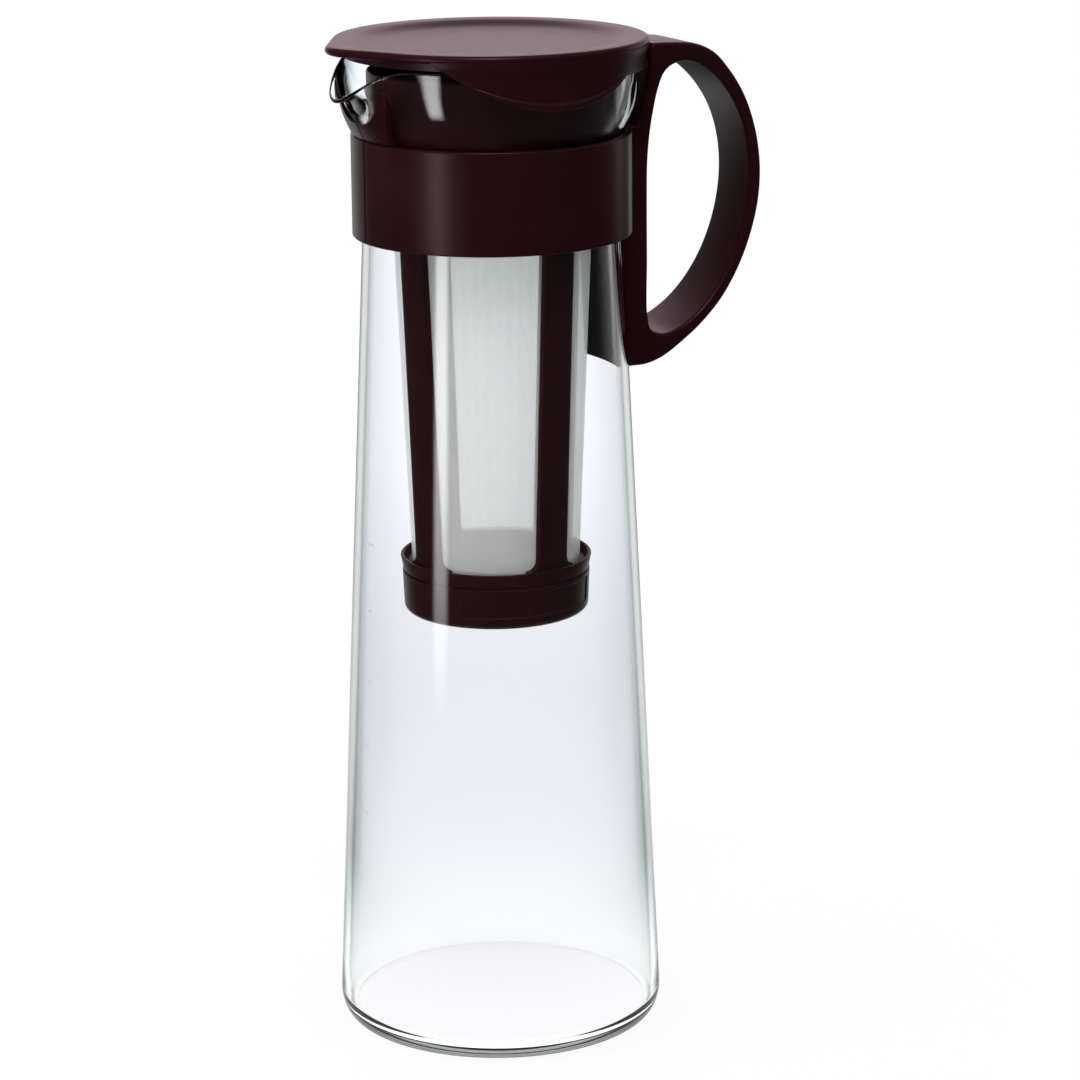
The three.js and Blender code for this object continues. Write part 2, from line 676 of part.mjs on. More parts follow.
const widestFlareShare = Math.max(...bowlShares.map(([, flare]) => flare));
const skirtInner = lerp(WAIST_RADIUS, MOUTH_RADIUS, widestFlareShare) + FIT_GAP;
const skirtOuter = skirtInner + SKIRT_WALL;
const lidBodyTop = lidUnder + LID_EDGE / 2;

// The ring under the plate that rests on the glass rim.
function lidSeatRing() {
  return turned([
    [skirtInner - LID_SEAT_WIDTH, lidSeat],
    [skirtInner, lidSeat],
    [skirtInner, lidBodyTop],
    [skirtInner - LID_SEAT_WIDTH, lidBodyTop],
  ]);
}

// The lower edge of the finger grip seen from the side: an arc that rises to the underside of the plate.
function gripArcRadius() {
  const drop = lidUnder - gripLipBottom;
  return (GRIP_LIP_HALF_CHORD ** 2 + drop ** 2) / (2 * drop);
}

// The skirt swells from its own wall to the edge of the plate: shares of that way out and up.
const skirtFlareShares = [[0.3, 0.5], [0.75, 0.85]];

// The skirt hangs outside the glass and swells out to the edge of the plate. Its back runs level, and at
// both sides it drops in an arc to a finger grip. It is open over the pouring lip.
function skirt() {
  const ring = turned([
    [skirtInner, gripLipBottom - CUT_OVERRUN],
    [skirtOuter, gripLipBottom - CUT_OVERRUN],
    [skirtOuter, skirtBottom + SKIRT_WALL],
    ...skirtFlareShares.map(([across, rise]) => [
      lerp(skirtOuter, LID_RADIUS, across),
      lerp(skirtBottom, lidUnder, rise),
    ]),
    [LID_RADIUS - LID_EDGE / 12, lidBodyTop],
    [skirtInner, lidBodyTop],
  ]);
  const arcRadius = gripArcRadius();
  const arcSteps = 16;
  const reach = Math.asin(GRIP_LIP_HALF_CHORD / arcRadius);
  const arc = Array.from({ length: arcSteps + 1 }, (_, i) => {
    const angle = lerp(-reach, reach, i / arcSteps);
    return [arcRadius * Math.sin(angle), gripLipBottom + arcRadius * (1 - Math.cos(angle))];
  });
  const corners = [[GRIP_LIP_HALF_CHORD, lidTop], [-GRIP_LIP_HALF_CHORD, lidTop]];
  const sides = slabAlongY([...arc, ...corners], -LID_RADIUS, LID_RADIUS);
  const back = block([0, -LID_RADIUS, skirtBottom], [LID_RADIUS, LID_RADIUS, lidTop]);
  return ring.intersect(joined([sides, back]));
}

// A rounded bead along the lower edge of the finger grip. It thins out towards both ends.
function gripBead(side) {
  const beadSteps = 14;
  const beadSides = 8;
  const arcRadius = gripArcRadius();
  const path = (share) => {
    const turn = radians(lerp(-GRIP_LIP_SPAN, GRIP_LIP_SPAN, share));
    const x = skirtOuter * Math.sin(turn);
    const edge = gripLipBottom + arcRadius - Math.sqrt(arcRadius ** 2 - x ** 2);
    return { turn, edge };
  };
  const rings = Array.from({ length: beadSteps + 1 }, (_, i) => {
    const { turn, edge } = path(i / beadSteps);
    const swell = GRIP_LIP_ROUND * Math.sqrt(Math.sin((Math.PI * i) / beadSteps));
    const height = edge + swell;
    if (i === 0 || i === beadSteps) {
      return [[skirtOuter * Math.sin(turn), side * skirtOuter * Math.cos(turn), height]];
    }
    return Array.from({ length: beadSides }, (_ignored, k) => {
      const angle = (2 * Math.PI * k) / beadSides;
      const radius = skirtOuter - GRIP_LIP_ROUND / 3 + swell * Math.cos(angle);
      return [radius * Math.sin(turn), side * radius * Math.cos(turn), height + swell * Math.sin(angle)];
    });
  });
  return skin(rings).subtract(turned([
    [0, capBottom],
    [skirtInner, capBottom],
    [skirtInner, lidTop],
    [0, lidTop],
  ]));
}

function lid() {
  return joined([lidPlate(), lidSeatRing(), skirt(), gripBead(1), gripBead(-1)]);
}

const pot = new THREE.Group();
pot.add(asMesh(carafe(), 'glass_carafe', materials.glass));
pot.add(asMesh(neckBand(), 'neck_band_and_handle', materials.body));

const strainer = new THREE.Group();
strainer.add(asMesh(strainerFrame(), 'strainer_frame', materials.body));
ribSpaces.forEach((index) => {
  strainer.add(asMesh(meshPanel(index), `mesh_panel_${index + 1}`, materials.mesh));
});
strainer.add(asMesh(strainerCap(), 'strainer_cap', materials.body));

const coffeeMaker = new THREE.Group();
coffeeMaker.add(pot, strainer, asMesh(lid(), 'lid', materials.body));

export default coffeeMaker;
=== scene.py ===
import bisect
import math

import bmesh
import bpy
from mathutils import Matrix, Vector


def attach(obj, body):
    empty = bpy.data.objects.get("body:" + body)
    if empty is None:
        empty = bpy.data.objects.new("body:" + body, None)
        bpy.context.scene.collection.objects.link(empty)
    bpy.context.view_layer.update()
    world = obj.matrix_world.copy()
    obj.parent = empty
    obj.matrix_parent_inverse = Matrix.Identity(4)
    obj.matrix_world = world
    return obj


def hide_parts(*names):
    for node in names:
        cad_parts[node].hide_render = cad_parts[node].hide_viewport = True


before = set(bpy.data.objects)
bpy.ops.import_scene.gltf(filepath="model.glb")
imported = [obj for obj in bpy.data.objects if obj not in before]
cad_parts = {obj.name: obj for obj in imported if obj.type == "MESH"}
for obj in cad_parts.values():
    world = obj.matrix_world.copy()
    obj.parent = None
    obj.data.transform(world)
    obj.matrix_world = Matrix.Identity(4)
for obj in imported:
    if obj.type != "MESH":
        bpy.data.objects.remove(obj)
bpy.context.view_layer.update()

MM = 0.001

# Sizes in millimetres and degrees, the same as the CAD model's, with heights above the base.
# The carafe
BASE_RADIUS = 48.8
HEEL_REACH = 3.5
HEEL_HEIGHT = 7
FLOOR_THICKNESS = 3
FLOOR_CORNER = 4
GLASS_WALL = 2
RIM_HEIGHT = 292
MOUTH_RADIUS = 42.4
WAIST_RADIUS = 36.7
WAIST_HEIGHT = 266
LIP_ROOT = 275
LIP_REACH = 6.8
LIP_DIP = 9.8
LIP_SPREAD = 18.6
LIP_DIP_SPREAD = 15.5
LIP_EASE = 1.9
FIT_GAP = 0.3

# The neck band, its fins and the handle
BAND_RADIUS = 40.8
BAND_TOP = 269.5
BAND_BOTTOM = 239.8
SEAM_WIDTH = 0.7
FIN_TOP = 285.3
FIN_NOTCH = 274.7
FIN_ROOT = 262
FIN_HALF_WIDTH = 16.2
FIN_THICKNESS = 1.4
HANDLE_REACH = 85.4
HANDLE_TOP = 293
HANDLE_BOTTOM = 197.6
HANDLE_STRAP = 3.9
SPINE_FACE = 45.4
SPINE_WIDTH = 24
STRAP_WIDTH = 19.4
HANDLE_EDGE_ROUND = 1.2
FINGER_GAP_TOP = 286.9
FINGER_GAP_BOTTOM = 206.3

# The strainer and its cap
STRAINER_TURN = 12.8
RIB_COUNT = 4
RIB_WIDTH = 10.8
RIB_PROUD = 1.6
MESH_TOP_RADIUS = 28.9
MESH_BOTTOM_RADIUS = 25
MESH_THICKNESS = 0.4
MESH_EDGE_GRIP = 1.2
WINDOW_TOP = 240
WINDOW_BOTTOM = 143.6
WINDOW_CORNER = 3
FRAME_WALL = 1.6
CUP_RADIUS = 36
CUP_TOP = 288
SEAT_HEIGHT = 269
COLLAR_BOTTOM = 139.3
COLLAR_RADIUS = 28.4
COLLAR_FOOT_RADIUS = 27.7
COLLAR_LIP = 1.1
TROUGH_DEPTH = 2
SPIGOT_RADIUS = 25.2
SPIGOT_BOTTOM = 131.5
CAP_RADIUS = 27.9
CAP_FOOT_RADIUS = 27.5
CAP_BOTTOM = 126.7
CAP_FLOOR = 2
CAP_CORNER = 2.2
GRIP_DEPTH = 0.35
GRIP_HALF_SPAN = 48
GRIP_MARGIN = 1.6

# The lid
LID_RADIUS = 45.8
LID_TOP = 297
LID_EDGE = 2.5
LID_NOSE_RADIUS = 13
LID_NOSE_REACH = 51
LID_RIM_WIDTH = 5.5
LID_DISH_DEPTH = 1.8
LID_THICKNESS = 2
LID_SEAT_WIDTH = 3.6
SKIRT_WALL = 1.4
SKIRT_BOTTOM = 288
GRIP_LIP_BOTTOM = 280.8
GRIP_LIP_HALF_CHORD = 33
GRIP_LIP_ROUND = 1.3
GRIP_LIP_SPAN = 34

# Finer edges that only the scene has
RIM_WALL = 1.1
BAND_EDGE_ROUND = 0.5
FIN_LEAST = 0.7
FIN_EDGE_BEVEL = 0.4
FIN_BEVEL_ANGLE = 50
RIB_ROUND = 0.5
CAP_EDGE_ROUND = 0.3
SEAT_EDGE_ROUND = 0.3
SKIRT_EDGE_ROUND = 0.35

# Fineness of the meshes, and the angle in degrees over which an edge stays sharp
AROUND = 240
GLASS_AROUND = 288
HEEL_STEPS = 16
RIM_STEPS = 12
BASE_CORNER_STEPS = 10
CORNER_STEPS = 7
EDGE_STEPS = 4
SPLINE_STEPS = 10
FLARE_STEPS = 8
WALL_STEPS = 6
SHARP_EDGE = 40
TINY = 1e-6
DISC_SHARES = (0.3, 0.6, 0.85)


def lerp(a, b, share):
    return a + (b - a) * share


def smoothstep(value, low, high):
    share = min(max((value - low) / (high - low), 0), 1)
    return share * share * (3 - 2 * share)


def polar(radius, angle):
    return radius * math.cos(angle), radius * math.sin(angle)


def bend(centre_r, centre_z, reach, rise, from_degrees, to_degrees, steps=CORNER_STEPS):
    """Part of an ellipse as radius and height points."""
    points = []
    for i in range(steps + 1):
        angle = math.radians(lerp(from_degrees, to_degrees, i / steps))
        points.append((centre_r + reach * math.cos(angle), centre_z + rise * math.sin(angle)))
    return points


def spline(points, closed=False, steps=SPLINE_STEPS):
    """A smooth curve through flat points, by centripetal Catmull-Rom."""
    count = len(points)

    def at(i):
        if closed:
            return Vector(points[i % count])
        if i < 0:
            return 2 * Vector(points[0]) - Vector(points[1])
        if i >= count:
            return 2 * Vector(points[-1]) - Vector(points[-2])
        return Vector(points[i])

    curve = []
    for i in range(count if closed else count - 1):
        p0, p1, p2, p3 = (at(i + k) for k in (-1, 0, 1, 2))
        t0 = 0
        t1 = t0 + max((p1 - p0).length, TINY) ** 0.5
        t2 = t1 + max((p2 - p1).length, TINY) ** 0.5
        t3 = t2 + max((p3 - p2).length, TINY) ** 0.5
        for k in range(steps):
            t = lerp(t1, t2, k / steps)
            a1 = p0.lerp(p1, (t - t0) / (t1 - t0))
            a2 = p1.lerp(p2, (t - t1) / (t2 - t1))
            a3 = p2.lerp(p3, (t - t2) / (t3 - t2))
            b1 = a1.lerp(a2, (t - t0) / (t2 - t0))
            b2 = a2.lerp(a3, (t - t1) / (t3 - t1))
            curve.append(tuple(b1.lerp(b2, (t - t1) / (t2 - t1))))
    if not closed:
        curve.append(tuple(points[-1]))
    return curve


def interpolate(table, value):
    """The y of a piecewise straight table of rising x, y pairs."""
    xs = [x for x, _ in table]
    if value <= xs[0]:
        return table[0][1]
    if value >= xs[-1]:
        return table[-1][1]
    i = bisect.bisect_right(xs, value)
    (x0, y0), (x1, y1) = table[i - 1], table[i]
    return lerp(y0, y1, (value - x0) / (x1 - x0))


def skin(rings, loop=False):
    """Vertices and faces of a skin over rings of points. A ring of one point is a pole. Open ends are
    capped, and a loop joins the last ring to the first."""
    verts, faces, starts = [], [], []
    for ring in rings:
        starts.append(len(verts))
        verts.extend(ring)
    pairs = [(i, i + 1) for i in range(len(rings) - 1)]
    if loop:
        pairs.append((len(rings) - 1, 0))
    for a, b in pairs:
        ring_a, ring_b = rings[a], rings[b]
        count = max(len(ring_a), len(ring_b))

        def at(ring, i):
            return starts[ring] + (0 if len(rings[ring]) == 1 else i % count)

        for i in range(count):
            if len(ring_a) == 1:
                faces.append((at(a, 0), at(b, i + 1), at(b, i)))
            elif len(ring_b) == 1:
                faces.append((at(a, i), at(a, i + 1), at(b, 0)))
            else:
                faces.append((at(a, i), at(a, i + 1), at(b, i + 1), at(b, i)))
    if not loop:
        for ring in (0, len(rings) - 1):
            if len(rings[ring]) > 2:
                faces.append(tuple(starts[ring] + i for i in range(len(rings[ring]))))
    return verts, faces


def merged(*shells):
    """Several skins as one."""
    verts, faces = [], []
    for more_verts, more_faces in shells:
        start = len(verts)
        verts.extend(more_verts)
        faces.extend(tuple(start + i for i in face) for face in more_faces)
    return verts, faces


def placed(name, data):
    """A new object in the scene."""
    obj = bpy.data.objects.new(name, data)
    bpy.context.scene.collection.objects.link(obj)
    return obj


def make(name, shell, material, uvs=None):
    """A mesh object from a shell in millimetres, with faces out, steep edges left sharp and the weave's
    coordinates where a shell has them."""
    verts, faces = shell
    data = bpy.data.meshes.new(name)
    data.from_pydata([tuple(c * MM for c in v) for v in verts], [], faces)
    bm = bmesh.new()
    bm.from_mesh(data)
    bmesh.ops.recalc_face_normals(bm, faces=bm.faces)
    for face in bm.faces:
        face.smooth = True
    for edge in bm.edges:
        if len(edge.link_faces) == 2 and edge.calc_face_angle(0) > math.radians(SHARP_EDGE):
            edge.smooth = False
    if uvs:
        layer = bm.loops.layers.uv.new("weave")
        for face in bm.faces:
            for loop in face.loops:
                loop[layer].uv = uvs[loop.vert.index]
    bm.to_mesh(data)
    bm.free()
    data.materials.append(material)
    return placed(name, data)


def turned(profile):
    """A ring of revolution from a closed profile."""
    angles = [2 * math.pi * k / AROUND for k in range(AROUND)]
    rings = [[(*polar(radius, angle), height) for angle in angles] for radius, height in profile]
    return skin(rings, loop=True)


# The glass
WIDEST_FLARE = 1.04
NECK_SHARES = (0, 0.4, 0.75)
BOWL_SHARES = [
    (0, 0), (0.06, 0.08), (0.12, 0.23), (0.23, 0.52), (0.44, 0.9), (0.67, WIDEST_FLARE), (0.86, 1.02),
]
RIM_CENTRE_HEIGHT = RIM_HEIGHT - GLASS_WALL / 2


def cone_radius(height):
    return lerp(BASE_RADIUS, WAIST_RADIUS, (height - HEEL_HEIGHT) / (WAIST_HEIGHT - HEEL_HEIGHT))


def cone_points(low, high, shares):
    heights = [lerp(low, high, share) for share in shares]
    return [(cone_radius(height), height) for height in heights]


def wall_line():
    """The outside of the glass from the heel to the rim, as a dense line of radius and height points."""
    cone_steps = 24
    cone = cone_points(HEEL_HEIGHT, BAND_BOTTOM, [i / cone_steps for i in range(cone_steps)])
    neck = cone_points(BAND_BOTTOM, WAIST_HEIGHT, NECK_SHARES)
    bowl = [(lerp(WAIST_RADIUS, MOUTH_RADIUS, flare), lerp(WAIST_HEIGHT, RIM_HEIGHT, rise))
            for rise, flare in BOWL_SHARES]
    return cone + spline(neck + bowl + [(MOUTH_RADIUS, RIM_CENTRE_HEIGHT)], steps=WALL_STEPS)


WALL = wall_line()


def offset_line(line, offset):
    """A line of radius and height points pushed out or in by an offset, square to its run."""
    offsets = offset if isinstance(offset, list) else [offset] * len(line)
    moved = []
    for i, ((radius, height), push) in enumerate(zip(line, offsets)):
        before, after = line[max(i - 1, 0)], line[min(i + 1, len(line) - 1)]
        run = (Vector(after) - Vector(before)).normalized()
        moved.append((radius + run.y * push, height - run.x * push))
    return moved


def offset_wall(offset):
    return offset_line(WALL, offset)


def radius_at(height, offset=0):
    """The radius of the plain glass wall, moved by an offset, at a height."""
    return interpolate([(z, r) for r, z in offset_wall(offset)], height)


def pull(radius, height, angle):
    """The pouring lip pulls the mouth out and down near -X. Returns the new radius and height."""
    away = math.degrees(abs(math.pi - angle % (2 * math.pi)))
    climb = min(max((height - LIP_ROOT) / (RIM_CENTRE_HEIGHT - LIP_ROOT), 0), 1)
    strength = climb ** LIP_EASE
    reach = LIP_REACH * strength * math.exp(-((away / LIP_SPREAD) ** 2))
    dip = LIP_DIP * strength * math.exp(-((away / LIP_DIP_SPREAD) ** 2))
    return radius + reach, height - dip


def wall_at(angle, offset):
    """The glass wall at an angle, with the lip's pull, pushed out or in by an offset."""
    return offset_line([pull(radius, height, angle) for radius, height in WALL], offset)


def rim_bead(outer, inner):
    """The rounded rim from the outside of the wall to its inside, without its two ends."""
    centre = Vector(outer).lerp(Vector(inner), 0.5)
    across = Vector(outer) - centre
    up = Vector((-across.y, across.x))
    turns = (math.pi * i / RIM_STEPS for i in range(1, RIM_STEPS))
    return [tuple(centre + across * math.cos(turn) + up * math.sin(turn)) for turn in turns]


def glass_shell():
    """The glass as one skin, from the middle of its base over the rim to the middle of its floor."""
    floor_r = BASE_RADIUS - GLASS_WALL - FLOOR_CORNER
    corner_z = FLOOR_THICKNESS + FLOOR_CORNER
    heel = bend(BASE_RADIUS - HEEL_REACH, HEEL_HEIGHT, HEEL_REACH, HEEL_HEIGHT, -90, 0, HEEL_STEPS)
    corner = bend(floor_r, corner_z, FLOOR_CORNER, FLOOR_CORNER, 0, -90, BASE_CORNER_STEPS)
    bottom = [(0, 0)] + [(heel[0][0] * share, 0) for share in DISC_SHARES]
    floor = [(floor_r * share, FLOOR_THICKNESS) for share in DISC_SHARES[::-1]] + [(0, FLOOR_THICKNESS)]
    angles = [2 * math.pi * k / GLASS_AROUND for k in range(GLASS_AROUND)]
    walls = [-lerp(GLASS_WALL, RIM_WALL, smoothstep(z, LIP_ROOT, RIM_CENTRE_HEIGHT)) for _, z in WALL]
    profiles = []
    for angle in angles:
        outside, inside = wall_at(angle, 0)[1:], wall_at(angle, walls)[1:]
        bead = rim_bead(outside[-1], inside[-1])
        profiles.append(bottom + heel + outside + bead + inside[::-1] + corner + floor)
    rings = []
    for i, (first_radius, first_height) in enumerate(profiles[0]):
        if first_radius == 0:
            rings.append([(0, 0, first_height)])
        else:
            rings.append([(*polar(profile[i][0], angle), profile[i][1])
                          for profile, angle in zip(profiles, angles)])
    return skin(rings)


def glass_radius(height, angle, offset):
    """The radius of the pulled glass wall, moved by an offset, at a height and an angle."""
    return interpolate(sorted((z, r) for r, z in wall_at(angle, offset)), height)


# The neck band, its fins and the handle
def band_shell():
    """The neck band: an open ring with round outer edges, split by the seam under the lip."""
    inner = [(r, z) for r, z in offset_wall(FIT_GAP) if BAND_BOTTOM < z < BAND_TOP]
    low = (radius_at(BAND_BOTTOM, FIT_GAP), BAND_BOTTOM)
    high = (radius_at(BAND_TOP, FIT_GAP), BAND_TOP)
    edge = BAND_EDGE_ROUND
    outer = [(BAND_RADIUS - edge, BAND_BOTTOM)]
    outer += bend(BAND_RADIUS - edge, BAND_BOTTOM + edge, edge, edge, -90, 0)[1:]
    outer += bend(BAND_RADIUS - edge, BAND_TOP - edge, edge, edge, 0, 90)
    profile = [low] + outer + [high] + inner[::-1]
    half_seam = math.asin(SEAM_WIDTH / 2 / BAND_RADIUS)
    rings = []
    for k in range(AROUND + 1):
        angle = lerp(half_seam - math.pi, math.pi - half_seam, k / AROUND)
        rings.append([(*polar(r, angle), z) for r, z in profile])
    return skin(rings)


FIN_INNER_SHARES = [
    (0, 0), (0.02, 0.2), (0.1, 0.41), (0.27, 0.59), (0.54, 0.75), (0.8, 0.83), (0.94, 0.87), (1, 0.92),
]
FIN_OUTER_SHARES = [(-0.5, 0.78), (0.1, 0.9), (0.45, 0.97), (0.72, 1), (0.93, 0.98), (1, 0.93)]


def fin_shell(side):
    """One fin under the lip. Its rows lie closer together towards its tip."""
    rows, columns, crowding = 60, 26, 1.6
    inner_line = spline(FIN_INNER_SHARES)
    outer_line = spline(FIN_OUTER_SHARES)
    outside, inside = [], []
    for row in range(rows + 1):
        height = lerp(FIN_ROOT, FIN_TOP, 1 - (1 - row / rows) ** crowding)
        rise = (height - FIN_NOTCH) / (FIN_TOP - FIN_NOTCH)
        near = max(SEAM_WIDTH / 2, FIN_HALF_WIDTH * interpolate(inner_line, rise) if rise > 0 else 0)
        far = FIN_HALF_WIDTH * interpolate(outer_line, rise)
        for surface in (outside, inside):
            line = []
            for column in range(columns + 1):
                y = lerp(near, far, column / columns)
                angle = math.pi - math.asin(y / radius_at(height, FIT_GAP))
                skin_in = glass_radius(height, angle, FIT_GAP)
                skin_out = max(radius_at(height, FIT_GAP + FIN_THICKNESS), skin_in + FIN_LEAST)
                radius = skin_in if surface is inside else skin_out
                line.append((-math.sqrt(radius ** 2 - y ** 2), side * y, height))
            surface.append(line)
    rings = [a + b[::-1] for a, b in zip(outside, inside)]
    return skin(rings)


FINGER_GAP_SHARES = [
    (0, 0.08), (0.039, 0.02), (0.133, 0.002), (0.26, 0.008), (0.476, 0.06), (0.654, 0.135), (0.798, 0.228),
    (0.909, 0.338), (0.978, 0.456), (1, 0.575), (0.972, 0.686), (0.903, 0.783), (0.792, 0.868),
    (0.657, 0.9355), (0.521, 0.979), (0.371, 1), (0.241, 0.991), (0.158, 0.964), (0.1, 0.908),
    (0.055, 0.828), (0.022, 0.741), (0.003, 0.642), (0, 0.518), (0, 0.295),
]
OUTER_EDGE_SHARES = [
    (0.042, 1), (0.19, 0.998), (0.422, 0.987), (0.59, 0.955), (0.728, 0.896), (0.842, 0.827), (0.92, 0.754),
    (0.975, 0.67), (1, 0.575), (0.982, 0.473), (0.915, 0.369), (0.81, 0.271), (0.665, 0.182),
    (0.48, 0.109), (0.288, 0.0545), (0.125, 0.017), (-0.01, 0.001), (-0.105, 0),
]
SPINE_FLARE_SHARES = [(0, 0), (0.45, 0.25), (0.75, 0.5), (0.93, 0.78), (1, 1)]


def ray_reach(line, centre, angle):
    """How far a ray from the centre runs to its last crossing with a closed flat line."""
    direction = Vector(polar(1, angle))
    parallel = 1e-9
    best = None
    for i, point in enumerate(line):
        a, b = Vector(point) - centre, Vector(line[(i + 1) % len(line)]) - centre
        span = b - a
        cross = direction.x * span.y - direction.y * span.x
        if abs(cross) < parallel:
            continue
        t = (a.x * span.y - a.y * span.x) / cross
        u = (a.x * direction.y - a.y * direction.x) / cross
        if t > 0 and -TINY <= u <= 1 + TINY and (best is None or t > best):
            best = t
    return best


def handle_shell():
    """The loop handle, as sections around the middle of the finger gap. Its back follows the glass."""
    steps, middle_shares, most_round = 360, (0.42, 0.5), 0.42
    gap_reach = HANDLE_REACH - HANDLE_STRAP - SPINE_FACE
    gap = spline([(SPINE_FACE + across * gap_reach, lerp(FINGER_GAP_BOTTOM, FINGER_GAP_TOP, rise))
                  for across, rise in FINGER_GAP_SHARES], closed=True)
    edge = spline([(lerp(SPINE_FACE, HANDLE_REACH, across), lerp(HANDLE_BOTTOM, HANDLE_TOP, rise))
                   for across, rise in OUTER_EDGE_SHARES])
    root = WAIST_RADIUS - FIT_GAP
    lid_side = LID_RADIUS + 2 * FIT_GAP
    flare = spline([(lerp(BAND_RADIUS, lid_side, across),
                     lerp(BAND_TOP, HANDLE_TOP - HANDLE_EDGE_ROUND, rise))
                    for across, rise in SPINE_FLARE_SHARES])
    outline = edge + [(root, HANDLE_BOTTOM), (root, BAND_TOP)] + flare
    centre = Vector((lerp(SPINE_FACE, HANDLE_REACH, middle_shares[0]),
                     lerp(FINGER_GAP_BOTTOM, FINGER_GAP_TOP, middle_shares[1])))
    rings = []
    for k in range(steps):
        angle = 2 * math.pi * k / steps
        direction = Vector(polar(1, angle))
        low = ray_reach(gap, centre, angle)
        high = ray_reach(outline, centre, angle)
        length = high - low
        curve = min(HANDLE_EDGE_ROUND, length * most_round)
        ring = []
        for depth, side, start in ((length, 1, 0), (0, 1, 90), (0, -1, 180), (length, -1, 270)):
            for j in range(CORNER_STEPS):
                turn = math.radians(start + 90 * j / (CORNER_STEPS - 1))
                along = (depth - curve if depth else curve) + curve * math.cos(turn)
                spot = centre + direction * (low + along)
                share = smoothstep(spot.x, SPINE_FACE, HANDLE_REACH)
                half = lerp(SPINE_WIDTH, STRAP_WIDTH, share) / 2
                y = side * (half - curve) + curve * math.sin(turn)
                x = spot.x
                least = radius_at(spot.y, FIT_GAP)
                if math.hypot(x, y) < least:
                    x = math.sqrt(max(least ** 2 - y ** 2, 0))
                ring.append((x, y, spot.y))
        rings.append(ring)
    return skin(rings, loop=True)


# The strainer. The throat widens between the windows and the cup's seat.
THROAT_FLARE = 0.1
THROAT_FOOT, THROAT_INSIDE, THROAT_TOP = 0.75, 0.8, 0.9
THROAT_TOP_FLARE = 0.4


def mesh_radius(height):
    share = (height - WINDOW_BOTTOM) / (WINDOW_TOP - WINDOW_BOTTOM)
    return lerp(MESH_BOTTOM_RADIUS, MESH_TOP_RADIUS, share)


def cup_shell():
    """The cup in the glass mouth and the throat down to the ribs, as one turned wall."""
    rib_outer = mesh_radius(WINDOW_TOP) + RIB_PROUD
    rib_inner = mesh_radius(WINDOW_TOP) - FRAME_WALL
    throat = lerp(rib_outer, CUP_RADIUS, THROAT_FLARE)
    seat = radius_at(SEAT_HEIGHT, -GLASS_WALL - FIT_GAP)
    inner = CUP_RADIUS - FRAME_WALL
    edge = FRAME_WALL / 2

    def between(share):
        return lerp(WINDOW_TOP, SEAT_HEIGHT, share)

    outside = spline([
        (rib_outer, WINDOW_TOP), (throat, between(THROAT_FOOT)),
        (lerp(throat, seat, THROAT_TOP_FLARE), between(THROAT_TOP)),
        (seat, SEAT_HEIGHT), (CUP_RADIUS, SEAT_HEIGHT + 2 * FRAME_WALL),
        (CUP_RADIUS, SEAT_HEIGHT + 4 * FRAME_WALL), (CUP_RADIUS, CUP_TOP - edge),
    ], steps=WALL_STEPS)
    rim = bend(CUP_RADIUS - edge, CUP_TOP - edge, edge, edge, 0, 180)[1:]
    inside = spline([
        (inner, CUP_TOP - edge), (inner, SEAT_HEIGHT + 5 * FRAME_WALL), (inner, SEAT_HEIGHT + 3 * FRAME_WALL),
        (seat - FRAME_WALL, SEAT_HEIGHT + FRAME_WALL), (throat - FRAME_WALL, between(THROAT_INSIDE)),
        (rib_inner, WINDOW_TOP),
    ], steps=WALL_STEPS)[1:]
    return turned(outside + rim + inside)


def rib_shell(turn):
    """One rib, which widens in a round foot towards the collar."""
    foot_steps, rise_steps, across_steps = 8, 12, 10
    low, high = WINDOW_BOTTOM - TROUGH_DEPTH, WINDOW_TOP + MESH_EDGE_GRIP
    foot = [WINDOW_BOTTOM + WINDOW_CORNER * (1 - math.cos(math.radians(90 * i / foot_steps)))
            for i in range(foot_steps + 1)]
    heights = [low] + foot + [lerp(foot[-1], high, i / rise_steps) for i in range(1, rise_steps + 1)]
    corner = bend(0, 0, RIB_ROUND, RIB_ROUND, 0, 90, EDGE_STEPS)
    turning = Matrix.Rotation(turn, 3, "Z")
    rings = []
    for height in heights:
        lift = min(max(height - WINDOW_BOTTOM, 0), WINDOW_CORNER)
        spread = WINDOW_CORNER - math.sqrt(max(WINDOW_CORNER ** 2 - (WINDOW_CORNER - lift) ** 2, 0))
        half = RIB_WIDTH / 2 + spread
        flat = half - RIB_ROUND
        outer = mesh_radius(height) + RIB_PROUD
        inner = mesh_radius(height) - FRAME_WALL
        ring = []
        for radius, sign in ((outer, 1), (inner, -1)):
            edge = [(flat + a, -sign * (RIB_ROUND - b)) for a, b in corner]
            line = edge + [(lerp(flat, -flat, i / across_steps), 0) for i in range(1, across_steps)]
            line += [(-a, b) for a, b in edge[::-1]]
            for across, sink in line:
                across *= sign
                reach = math.sqrt((radius + sink) ** 2 - across ** 2)
                ring.append(tuple(turning @ Vector((reach, across, height))))
        rings.append(ring)
    return skin(rings)


